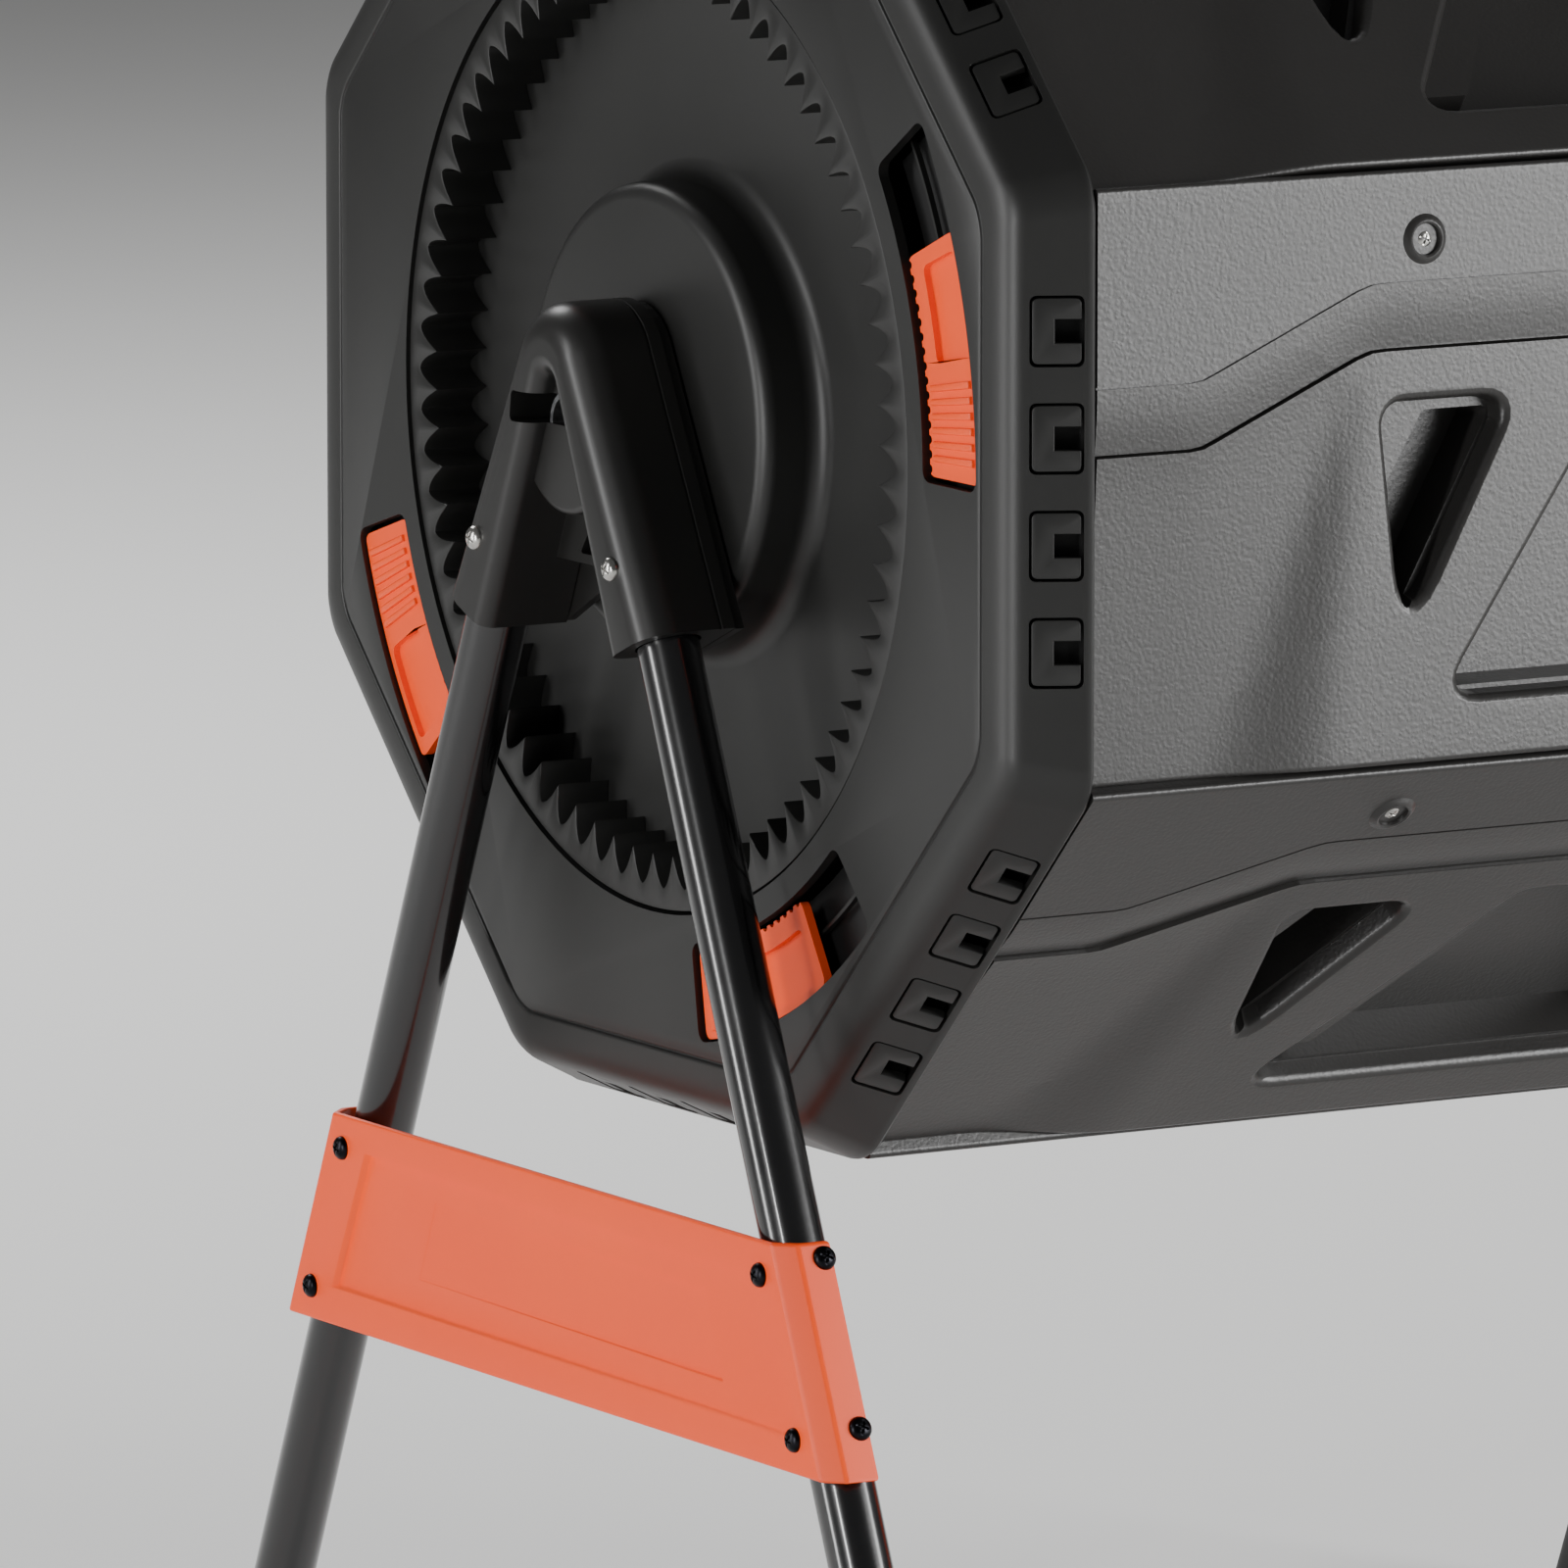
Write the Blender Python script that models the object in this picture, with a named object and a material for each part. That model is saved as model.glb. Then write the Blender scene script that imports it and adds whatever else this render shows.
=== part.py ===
"""Compost tumbler: an octagonal two-chamber drum on two A-frames of steel tube.

X runs along the drum's axle, Z is up, and the origin is on the ground under the middle of the drum.
Both ends of the tumbler are the same moulding, so every end piece is modelled once, at the -X end,
and its twin is the same mesh turned half a turn about Z.
"""
import math

import bmesh
import bpy
from mathutils import Matrix, Vector

# ---------------------------------------------------------------- driving dimensions, in metres
ACROSS_FLATS = 0.580          # octagon of the drum, outside
DRUM_LENGTH = 0.620           # outer face to outer face of the end caps
AXIS_HEIGHT = 0.600           # axle above the ground
GAP = 0.0003                  # clearance between faces that touch
WALL = 0.004                  # moulded plastic wall

CAP_DEPTH = 0.033             # cap face to the seam with the panels
CAP_SHOULDER = 0.032          # how far the flat face stays inside the flats
CAP_CORNER = 0.014            # corner radius of the cap's octagon
WELL_RADIUS = 0.2005          # round well in the cap face
WELL_DEPTH = 0.025
WELL_SEGMENTS = 60
WELL_EDGE = 0.004             # rounding of the boss, drawn as a chamfer
BOSS_RADIUS = 0.095
BOSS_PROUD = 0.003            # boss front in front of the cap face

TEETH = 70
TOOTH_HALF_FOOT = 0.30        # half a tooth's foot, as a share of the pitch
TOOTH_ROOT_RADIUS = 0.191
TOOTH_TIP_RADIUS = 0.1775

VENT_ANGLES = (16.5, -64.0, -146.0, 116.0)   # degrees, from -Y towards +Z
VENT_MID_RADIUS = 0.2335
VENT_WIDTH = 0.038
VENT_SLOT_LENGTH = 0.136
VENT_SLIDER_LENGTH = 0.095
VENT_CLEARANCE = 0.0006
RECESS_END = 0.06             # radians of solid slider at each end of its finger recess

TUBE_RADIUS = 0.0127
TUBE_WALL = 0.0015
LEG_PLANE = 0.031             # tube centres in front of the cap face
LEG_APEX = 0.0755             # where the two leg axes would meet, above the axle
LEG_ANGLE = math.radians(23.3)
LEG_DROP = 0.036              # cut end of a leg tube, below the axle
FOOT_HEIGHT = 0.045           # mouth of the foot cap above the ground, on its axis
FOOT_WALL = 0.004

HUB_BACK = 0.009              # hub housing's rear face, in front of the cap face
HUB_FRONT = 0.050
HUB_TOP = 0.049               # above the axle
HUB_SOCKET_END = 0.082        # socket mouths, below the axle along Z
HUB_SOCKET_WALL = 0.005
HUB_WEB = 0.012               # thickness of the web between the sockets
HUB_COVER_BACK = 0.0045
HUB_COVER_INSET = 0.0015      # cover's rim inside the housing's
HUB_WEB_END = 0.060           # fork of the web, below the axle
HUB_CROWN_RADIUS = 0.030
HUB_BUMP_RADIUS = 0.038
HUB_BUMP_INSET = 0.006        # bump's face behind the front of the hub
HUB_BUMP_EDGE = 0.004         # rounding of the bump, drawn as a chamfer

AXLE_RADIUS = 0.0127
AXLE_WALL = 0.002
BUSH_RADIUS = 0.0180
BUSH_FLANGE = 0.0240
BUSH_CLEARANCE = 0.0004

BRACE_TOP = 0.306             # below the axle
BRACE_HEIGHT = 0.090
BRACE_FRONT = 0.0490          # in front of the cap face
BRACE_BACK = 0.0260
BRACE_LIP = 0.014             # flat front past the leg axis
BRACE_SIDE = 0.022            # side wall past the leg axis
BRACE_WALL = 0.003

SCREW_HEAD_RADIUS = 0.0050
SCREW_HEAD_HEIGHT = 0.0030

PANEL_RECESS = 0.0010         # panels lie this far inside the cap's rim
POCKET_DEPTH = 0.028
POCKET_DRAFT = 0.004          # each side of a pocket leans in by this much
TRIANGLE_POCKET = ((-0.146, 0.026), (-0.083, 0.026), (-0.1345, -0.058))
TRAPEZOID_HALF_BOTTOM = 0.115
TRAPEZOID_HALF_TOP = 0.034
TRAPEZOID_BOTTOM = -0.0925
TRAPEZOID_TOP = 0.026

DOOR_LENGTH = 0.134
DOOR_WIDTH = 0.176
DOOR_THICKNESS = 0.003
DOOR_OVERLAP = 0.005          # door over the rim of its opening
DOOR_END_GAP = 0.004          # closed door to the end of its track
DOOR_TRACK_DEPTH = 0.006      # track floor below the panel's face
TRACK_END_WALL = 0.003
RAIL_OVERHANG = 0.006
RAIL_THICKNESS = 0.002
HANDLE_HEIGHT = 0.010
HANDLE_HALF_LENGTH = 0.052
HANDLE_HALF_WIDTH = 0.010
HANDLE_INSET = 0.025          # handle's middle to the door's inner edge
OPENING_RIM = 0.009           # door's long edge past its opening

DIVIDER_THICKNESS = 0.005
DIVIDER_CLEARANCE = 0.001     # round the axle

# ---------------------------------------------------------------- what follows from them
APOTHEM = ACROSS_FLATS / 2
HALF_LENGTH = DRUM_LENGTH / 2
TAN_HALF_CORNER = math.tan(math.radians(22.5))
PANEL_APOTHEM = APOTHEM - PANEL_RECESS
PANEL_HALF_LENGTH = HALF_LENGTH - CAP_DEPTH - GAP
SLOT_SPAN = VENT_SLOT_LENGTH / VENT_MID_RADIUS
SLIDER_SPAN = VENT_SLIDER_LENGTH / VENT_MID_RADIUS
AXLE_END = HALF_LENGTH + HUB_FRONT - HUB_BUMP_INSET - HUB_SOCKET_WALL
DRUM_CENTRE = Vector((0, 0, AXIS_HEIGHT))


# ---------------------------------------------------------------- helpers
def srgb(code):
    """Linear RGBA of an sRGB hex colour."""
    parts = [int(code[i:i + 2], 16) / 255 for i in (0, 2, 4)]
    linear = [p / 12.92 if p <= 0.04045 else ((p + 0.055) / 1.055) ** 2.4 for p in parts]
    return (*linear, 1.0)


def material(name, code, roughness, metallic=0.0):
    made = bpy.data.materials.new(name)
    made.use_nodes = True
    shader = made.node_tree.nodes["Principled BSDF"]
    shader.inputs["Base Color"].default_value = srgb(code)
    shader.inputs["Roughness"].default_value = roughness
    shader.inputs["Metallic"].default_value = metallic
    return made


def mesh_object(name, bm, finish=None, smooth=False):
    """An object at the origin with the bmesh's shape."""
    bmesh.ops.recalc_face_normals(bm, faces=bm.faces)
    mesh = bpy.data.meshes.new(name)
    bm.to_mesh(mesh)
    bm.free()
    if smooth:
        mesh.shade_smooth()
        mesh.set_sharp_from_angle(angle=math.radians(35))
    made = bpy.data.objects.new(name, mesh)
    bpy.context.scene.collection.objects.link(made)
    if finish:
        mesh.materials.append(finish)
    return made


def twin(original):
    """The same mesh for the other end of the tumbler, turned half a turn about Z."""
    swaps = {"left": "right", "front": "rear", "rear": "front"}
    name = "_".join(swaps.get(word, word) for word in original.name.split("_"))
    made = bpy.data.objects.new(name, original.data)
    made.location = original.location
    made.rotation_euler = (0, 0, math.pi)
    bpy.context.scene.collection.objects.link(made)
    return made


def carve(target, cutters, operation="DIFFERENCE"):
    """Apply a Boolean of each cutter to the target, and remove the cutters."""
    for cutter in cutters:
        step = target.modifiers.new("carve", "BOOLEAN")
        step.operation = operation
        step.solver = "EXACT"
        step.object = cutter
    bpy.context.view_layer.update()
    depsgraph = bpy.context.evaluated_depsgraph_get()
    result = bpy.data.meshes.new_from_object(target.evaluated_get(depsgraph))
    target.modifiers.clear()
    target.data = result
    for cutter in cutters:
        bpy.data.objects.remove(cutter)
    return target


def loft(rings):
    """A closed bmesh through rings of equally many points, with flat ends."""
    bm = bmesh.new()
    made = [[bm.verts.new(point) for point in ring] for ring in rings]
    count = len(rings[0])
    for lower, upper in zip(made, made[1:]):
        for i in range(count):
            j = (i + 1) % count
            bm.faces.new((lower[i], lower[j], upper[j], upper[i]))
    bm.faces.new(made[0])
    bm.faces.new(made[-1])
    return bm


def prism(outline, x0, x1):
    """A closed bmesh of a (y, z) outline drawn from x0 to x1."""
    return loft([[(x, y, z) for y, z in outline] for x in (x0, x1)])


def turned(profile, segments):
    """A closed (x, radius) profile spun about the X axis; a profile on the axis gives a solid."""
    bm = bmesh.new()
    verts = [bm.verts.new((x, 0, radius)) for x, radius in profile]
    edges = [bm.edges.new((a, b)) for a, b in zip(verts, verts[1:] + verts[:1])]
    bmesh.ops.spin(bm, geom=verts + edges, cent=(0, 0, 0), axis=(1, 0, 0),
                   angle=2 * math.pi, steps=segments, use_merge=True)
    bmesh.ops.remove_doubles(bm, verts=bm.verts, dist=1e-6)
    bmesh.ops.dissolve_degenerate(bm, edges=bm.edges, dist=1e-6)
    return bm


def rod(x0, x1, radius, segments=24):
    """A closed bmesh of a round bar along X."""
    return turned([(x0, 0), (x0, radius), (x1, radius), (x1, 0)], segments)


def band(half_width, low, high):
    """(y, z) outline of a rectangle that is centred across Y."""
    return [(-half_width, low), (half_width, low), (half_width, high), (-half_width, high)]


def polar(radius, angle):
    """(y, z) at an angle that is measured from -Y towards +Z."""
    return (-radius * math.cos(angle), radius * math.sin(angle))


def arc(radius, start, end, steps):
    return [polar(radius, start + (end - start) * i / steps) for i in range(steps + 1)]


def octagon(apothem, corner_radius, corner_steps=3):
    """(y, z) points of an octagon with rounded corners and a level top flat."""
    inset = apothem - corner_radius
    points = []
    for k in range(8):
        middle = math.radians(22.5 + 45 * k)
        centre = polar(inset / math.cos(math.radians(22.5)), middle)
        for i in range(corner_steps + 1):
            angle = middle + math.radians(45) * (i / corner_steps - 0.5)
            dy, dz = polar(corner_radius, angle)
            points.append((centre[0] + dy, centre[1] + dz))
    return points


def octagon_loft(stations):
    """A closed bmesh through (x, apothem, corner radius) octagons."""
    return loft([[(x, y, z) for y, z in octagon(apothem, radius)] for x, apothem, radius in stations])


# ---------------------------------------------------------------- end of the drum, at -X
def shoulder_stations(inset):
    """Octagons of the cap's rounded shoulder, from the face back to the seam."""
    face = -HALF_LENGTH + inset
    flat = APOTHEM - CAP_SHOULDER
    corner = CAP_CORNER
    return [
        (face, flat - inset / 2, corner),
        (face + 0.0012, flat + 0.0085 - inset, corner),
        (face + 0.0040, flat + 0.0160 - inset, corner),
        (face + 0.0080, flat + 0.0210 - inset, corner),
        (-HALF_LENGTH + CAP_DEPTH - 0.004, APOTHEM - 0.001 - inset, corner),
        (-HALF_LENGTH + CAP_DEPTH, APOTHEM - inset, corner),
    ]


def slot_cutter(angle):
    """The curved opening of one vent slot."""
    inner = VENT_MID_RADIUS - VENT_WIDTH / 2
    outer = VENT_MID_RADIUS + VENT_WIDTH / 2
    half = SLOT_SPAN / 2
    outline = arc(inner, angle - half, angle + half, 8) + arc(outer, angle + half, angle - half, 8)
    return mesh_object("cut", prism(outline, -HALF_LENGTH - 0.01, -HALF_LENGTH + 0.015))


def end_cap(finish):
    """Octagonal shell with a round well, a raised boss and four vent slots."""
    face = -HALF_LENGTH
    cap = mesh_object("end_cap_left", octagon_loft(shoulder_stations(0)), finish)
    hollow = shoulder_stations(WALL)
    last = hollow[-1]
    hollow.append((last[0] + 0.01, last[1], last[2]))
    mid_wall = WELL_RADIUS + WALL / 2
    hole = rod(face - 0.01, face + 0.05, mid_wall, WELL_SEGMENTS)
    floor = face + WELL_DEPTH
    front = face - BOSS_PROUD
    bore = BUSH_RADIUS + GAP
    dish = turned([
        (face, WELL_RADIUS), (face, WELL_RADIUS + WALL), (floor + WALL, WELL_RADIUS + WALL),
        (floor + WALL, BOSS_RADIUS - WALL), (front + WALL, BOSS_RADIUS - WALL), (front + WALL, bore),
        (front, bore), (front, BOSS_RADIUS - WELL_EDGE), (front + WELL_EDGE, BOSS_RADIUS),
        (floor - WELL_EDGE, BOSS_RADIUS), (floor, BOSS_RADIUS + WELL_EDGE), (floor, WELL_RADIUS)],
        WELL_SEGMENTS)
    carve(cap, [mesh_object("cut", octagon_loft(hollow)), mesh_object("cut", hole)])
    carve(cap, [mesh_object("cut", dish)], "UNION")
    carve(cap, [slot_cutter(math.radians(angle)) for angle in VENT_ANGLES])
    cap.location = DRUM_CENTRE
    return cap


def gear_ring(finish):
    """Internally toothed ring that lies in the cap's well."""
    x0 = -HALF_LENGTH + 0.001
    x1 = -HALF_LENGTH + WELL_DEPTH - GAP
    pitch = 2 * math.pi / TEETH
    inner = []
    for k in range(TEETH):
        inner.append(polar(TOOTH_ROOT_RADIUS, (k - TOOTH_HALF_FOOT) * pitch))
        inner.append(polar(TOOTH_TIP_RADIUS, k * pitch))
        inner.append(polar(TOOTH_ROOT_RADIUS, (k + TOOTH_HALF_FOOT) * pitch))
    seat = WELL_RADIUS * math.cos(math.pi / WELL_SEGMENTS) - GAP
    outer = [polar(seat, 2 * math.pi * (i - TOOTH_HALF_FOOT) / len(inner)) for i in range(len(inner))]
    bm = bmesh.new()
    loops = [[bm.verts.new((x, y, z)) for y, z in ring] for x, ring in
             ((x0, inner), (x0, outer), (x1, outer), (x1, inner))]
    for a, b in zip(loops, loops[1:] + loops[:1]):
        for i in range(len(inner)):
            j = (i + 1) % len(inner)
            bm.faces.new((a[i], a[j], b[j], b[i]))
    ring = mesh_object("gear_ring_left", bm, finish)
    ring.location = DRUM_CENTRE
    return ring


def vent_slider(name, angle, finish):
    """Curved slider that fills part of its slot, with a hidden flange behind the cap's face."""
    centre = angle - (SLOT_SPAN - SLIDER_SPAN) / 2
    half = SLIDER_SPAN / 2 - VENT_CLEARANCE / VENT_MID_RADIUS
    inner = VENT_MID_RADIUS - VENT_WIDTH / 2
    outer = VENT_MID_RADIUS + VENT_WIDTH / 2
    face = -HALF_LENGTH

    def sector(r0, r1, x0, x1, spread=0.0):
        outline = arc(r0, centre - half - spread, centre + half + spread, 6)
        return prism(outline + arc(r1, centre + half + spread, centre - half - spread, 6), x0, x1)

    front = sector(inner + VENT_CLEARANCE, outer - VENT_CLEARANCE, face + 0.0005, face + WALL + 0.0015)
    slider = mesh_object(name, front, finish)
    flange = sector(inner - 0.003, outer + 0.003, face + WALL + 2 * GAP, face + WALL + 0.0026,
                    -0.004)
    dish = sector(inner + 0.008, outer - 0.006, face - 0.01, face + 0.0035, -RECESS_END)
    carve(slider, [mesh_object("cut", flange)], "UNION")
    carve(slider, [mesh_object("cut", dish)])
    slider.location = DRUM_CENTRE
    return slider


def bush(finish):
    """Flanged bush in the boss, running on the axle."""
    front = -HALF_LENGTH - BOSS_PROUD
    bore = AXLE_RADIUS + BUSH_CLEARANCE
    bm = turned([
        (front + WALL + GAP, bore), (front - 0.0008, bore), (front - 0.0008, BUSH_RADIUS),
        (front + WALL + GAP, BUSH_RADIUS), (front + WALL + GAP, BUSH_FLANGE),
        (front + WALL + 0.004, BUSH_FLANGE), (front + 0.020, BUSH_RADIUS), (front + 0.020, bore)], 24)
    made = mesh_object("axle_bush_left", bm, finish, smooth=True)
    made.location = DRUM_CENTRE
    return made


# ---------------------------------------------------------------- drum shell
def mitred_slab(half_x, outer, inner):
    """A slab on the +Z flat whose long edges are mitred against the next flats."""
    def half_width(apothem):
        return apothem * TAN_HALF_CORNER - GAP
    section = [(-half_width(outer), outer), (half_width(outer), outer),
               (half_width(inner), inner), (-half_width(inner), inner)]
    return prism(section, -half_x, half_x)


def pocket_outlines():
    """(x, y) outlines of the three pockets of a side panel made on the +Z flat."""
    mirrored = [(-x, y) for x, y in reversed(TRIANGLE_POCKET)]
    trapezoid = [(-TRAPEZOID_HALF_TOP, TRAPEZOID_TOP), (TRAPEZOID_HALF_TOP, TRAPEZOID_TOP),
                 (TRAPEZOID_HALF_BOTTOM, TRAPEZOID_BOTTOM), (-TRAPEZOID_HALF_BOTTOM, TRAPEZOID_BOTTOM)]
    return [list(TRIANGLE_POCKET), mirrored, trapezoid]


def grown(outline, amount):
    """The outline with each side moved outwards."""
    count = len(outline)
    area = sum(outline[i][0] * outline[(i + 1) % count][1] - outline[(i + 1) % count][0] * outline[i][1]
               for i in range(count))
    sign = 1 if area > 0 else -1
    lines = []
    for i in range(count):
        a = Vector(outline[i])
        b = Vector(outline[(i + 1) % count])
        along = (b - a).normalized()
        normal = Vector((along.y, -along.x)) * sign
        lines.append((a + normal * amount, along))
    points = []
    for i in range(count):
        (p, u), (q, v) = lines[i - 1], lines[i]
        t = (q - p).cross(v) / u.cross(v)
        points.append(tuple(p + u * t))
    return points


def pocket_solid(outline, top, depth, extra):
    """A drafted prism that sinks into the panel from the height `top`."""
    mouth = grown(outline, extra)
    base = grown(outline, extra - POCKET_DRAFT)
    return loft([[(x, y, top) for x, y in mouth], [(x, y, PANEL_APOTHEM - depth) for x, y in base]])


def side_panel_mesh(finish):
    """One side panel on the +Z flat: a mitred slab with three sunk pockets."""
    panel = mesh_object("panel", mitred_slab(PANEL_HALF_LENGTH, PANEL_APOTHEM, PANEL_APOTHEM - WALL), finish)
    outlines = pocket_outlines()
    cups = [mesh_object("cut", pocket_solid(o, PANEL_APOTHEM - WALL / 2, POCKET_DEPTH + WALL, WALL))
            for o in outlines]
    hollows = [mesh_object("cut", pocket_solid(o, PANEL_APOTHEM + 0.001, POCKET_DEPTH, 0)) for o in outlines]
    carve(panel, cups, "UNION")
    carve(panel, hollows)
    return panel


def side_panels(finish):
    """Seven side panels from one shape, one on each flat but the top one."""
    master = side_panel_mesh(finish)
    names = ("rear_upper", "rear", "rear_lower", "bottom", "front_lower", "front", "front_upper")
    for k, name in enumerate(names):
        panel = bpy.data.objects.new("side_panel_" + name, master.data)
        panel.location = DRUM_CENTRE
        panel.rotation_euler = (-(k + 1) * math.pi / 4, 0, 0)
        bpy.context.scene.collection.objects.link(panel)
    bpy.data.objects.remove(master)


def door_centre():
    """Closed door's centre along X, on the +X side."""
    return PANEL_HALF_LENGTH - DOOR_END_GAP - DOOR_LENGTH / 2


def door_panel(finish):
    """Top panel with a sunk track, two openings and two rails that keep the doors down."""
    face = PANEL_APOTHEM
    floor = face - DOOR_TRACK_DEPTH
    half_track = DOOR_WIDTH / 2 + GAP
    panel = mesh_object("door_panel", mitred_slab(PANEL_HALF_LENGTH, face, floor - WALL), finish)
    track_end = PANEL_HALF_LENGTH - TRACK_END_WALL
    cutters = [mesh_object("cut", prism(band(half_track, floor, face + 0.01), -track_end, track_end))]
    thin = [(half_track + WALL, floor - 0.01), (PANEL_APOTHEM * TAN_HALF_CORNER, floor - 0.01),
            (PANEL_APOTHEM * TAN_HALF_CORNER, face - WALL), (half_track + WALL, face - WALL)]
    for side in (1, -1):
        hollow = [(y * side, z) for y, z in thin]
        cutters.append(mesh_object("cut", prism(hollow, -PANEL_HALF_LENGTH - 0.01, PANEL_HALF_LENGTH + 0.01)))
        half_x = DOOR_LENGTH / 2 - DOOR_OVERLAP
        half_y = DOOR_WIDTH / 2 - OPENING_RIM
        middle = side * door_centre()
        hole = prism(band(half_y, floor - 0.02, floor + 0.01), middle - half_x, middle + half_x)
        cutters.append(mesh_object("cut", hole))
    carve(panel, cutters)
    under = floor + GAP + DOOR_THICKNESS + GAP
    rails = []
    for side in (1, -1):
        inner = half_track - RAIL_OVERHANG
        lip = [(inner, under), (half_track + 0.003, under), (half_track + 0.003, under + RAIL_THICKNESS),
               (inner, under + RAIL_THICKNESS)]
        lip = [(y * side, z) for y, z in lip]
        rails.append(mesh_object("cut", prism(lip, -PANEL_HALF_LENGTH + 0.002, PANEL_HALF_LENGTH - 0.002)))
    carve(panel, rails, "UNION")
    panel.location = DRUM_CENTRE
    return panel


def door(name, side, finish):
    """Sliding door: a plate with a grip bar, closed at the end of its track."""
    base = PANEL_APOTHEM - DOOR_TRACK_DEPTH + GAP
    half_x = DOOR_LENGTH / 2
    half_y = DOOR_WIDTH / 2 - GAP
    middle = side * door_centre()
    plate = prism(band(half_y, base, base + DOOR_THICKNESS), middle - half_x, middle + half_x)
    made = mesh_object(name, plate, finish)
    centre_x = middle - side * (half_x - HANDLE_INSET)
    foot = base + DOOR_THICKNESS / 2
    crest = PANEL_APOTHEM + HANDLE_HEIGHT
    wide, long, taper = HANDLE_HALF_WIDTH, HANDLE_HALF_LENGTH, 0.4 * HANDLE_HALF_WIDTH
    grip = [[(centre_x + dx, y, z) for dx, y in ((-w, -h), (w, -h), (w, h), (-w, h))]
            for z, w, h in ((foot, wide, long), (crest, wide - taper, long - taper))]
    carve(made, [mesh_object("cut", loft(grip))], "UNION")
    made.location = DRUM_CENTRE
    return made


def divider(finish):
    """Wall between the chambers: an octagon notched round the middle pockets, with an axle hole."""
    inside = PANEL_APOTHEM - WALL - GAP
    reach = inside * TAN_HALF_CORNER
    shallow = PANEL_APOTHEM - POCKET_DEPTH - WALL - 2 * GAP
    left, right = TRAPEZOID_BOTTOM - WALL - 2 * GAP, TRAPEZOID_TOP + WALL + 2 * GAP
    top_edge = PANEL_APOTHEM - DOOR_TRACK_DEPTH - WALL - GAP
    outline = []
    for k in range(8):
        turn = Matrix.Rotation(-k * math.pi / 4, 2)
        if k == 0:
            half = DOOR_WIDTH / 2 + 2 * WALL
            flat = [(-half, inside), (-half, top_edge), (half, top_edge), (half, inside)]
        else:
            flat = [(left, inside), (left, shallow), (right, shallow), (right, inside)]
        for point in [(-reach, inside)] + flat:
            outline.append(tuple(turn @ Vector(point)))
    half = DIVIDER_THICKNESS / 2
    plate = mesh_object("chamber_divider", prism(outline, -half, half), finish)
    hole = rod(-2 * half, 2 * half, AXLE_RADIUS + DIVIDER_CLEARANCE)
    carve(plate, [mesh_object("cut", hole)])
    plate.location = DRUM_CENTRE
    return plate


# ---------------------------------------------------------------- stand
def leg_offset(drop):
    """Distance from the middle plane to the leg axis, at a height below the axle."""
    return (LEG_APEX + drop) * math.tan(LEG_ANGLE)


def leg_frame(side):
    """Matrix that puts a tube made along -Z from its top end onto a leg; side is -1 towards -Y."""
    place = Matrix.Translation((-HALF_LENGTH - LEG_PLANE, 0, LEG_APEX))
    return place @ Matrix.Rotation(side * LEG_ANGLE, 4, "X")


def along_leg(drop):
    """Distance from the apex down the leg's axis to a height below the axle."""
    return (LEG_APEX + drop) / math.cos(LEG_ANGLE)


def leg_turned(side, profile, segments):
    """A (distance down the leg, radius) profile spun about a leg's axis."""
    bm = turned(profile, segments)
    bmesh.ops.transform(bm, verts=bm.verts, matrix=leg_frame(side) @ Matrix.Rotation(math.pi / 2, 4, "Y"))
    return bm


def leg_tube(name, side, finish):
    """Steel tube from the hub socket to just above the ground."""
    start = along_leg(LEG_DROP)
    end = along_leg(AXIS_HEIGHT) - FOOT_WALL - TUBE_RADIUS * math.tan(LEG_ANGLE) - GAP
    inner = TUBE_RADIUS - TUBE_WALL
    tube = mesh_object(name, leg_turned(side, [(start, inner), (start, TUBE_RADIUS),
                                               (end, TUBE_RADIUS), (end, inner)], 24), finish, smooth=True)
    tube.location = DRUM_CENTRE
    return tube


def foot_cap(name, side, finish):
    """Cap over the end of a leg, cut level with the ground."""
    end = along_leg(AXIS_HEIGHT)
    mouth = end - FOOT_HEIGHT / math.cos(LEG_ANGLE)
    seat = end - FOOT_WALL - TUBE_RADIUS * math.tan(LEG_ANGLE)
    outer = TUBE_RADIUS + FOOT_WALL
    bore = TUBE_RADIUS + GAP
    past = end + 2 * outer
    profile = [(mouth, bore), (mouth, outer), (past, outer), (past, 0), (seat, 0), (seat, bore)]
    cap = mesh_object(name, leg_turned(side, profile, 24), finish)
    below = prism(band(1, -AXIS_HEIGHT - 0.1, -AXIS_HEIGHT), -1, 1)
    carve(cap, [mesh_object("cut", below)])
    cap.location = DRUM_CENTRE
    return cap


def hub_outline(grow=0.0, notch=True):
    """(y, z) outline of the hub: an inverted V round the two sockets, with a round crown."""
    half = TUBE_RADIUS + HUB_SOCKET_WALL + grow
    run, rise = half * math.cos(LEG_ANGLE), half * math.sin(LEG_ANGLE)
    foot = leg_offset(HUB_SOCKET_END)
    crown_radius = HUB_CROWN_RADIUS + grow
    crown_z = HUB_TOP - HUB_CROWN_RADIUS
    crown = []
    for i in range(13):
        angle = LEG_ANGLE + (math.pi - 2 * LEG_ANGLE) * i / 12
        crown.append((crown_radius * math.cos(angle), crown_z + crown_radius * math.sin(angle)))
    fork = [(0, LEG_APEX - half / math.sin(LEG_ANGLE))] if notch else [(0, -HUB_WEB_END)]
    return ([(foot + run, rise - HUB_SOCKET_END)] + crown + [(-foot - run, rise - HUB_SOCKET_END),
            (run - foot, -rise - HUB_SOCKET_END)] + fork + [(foot - run, -rise - HUB_SOCKET_END)])


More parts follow.
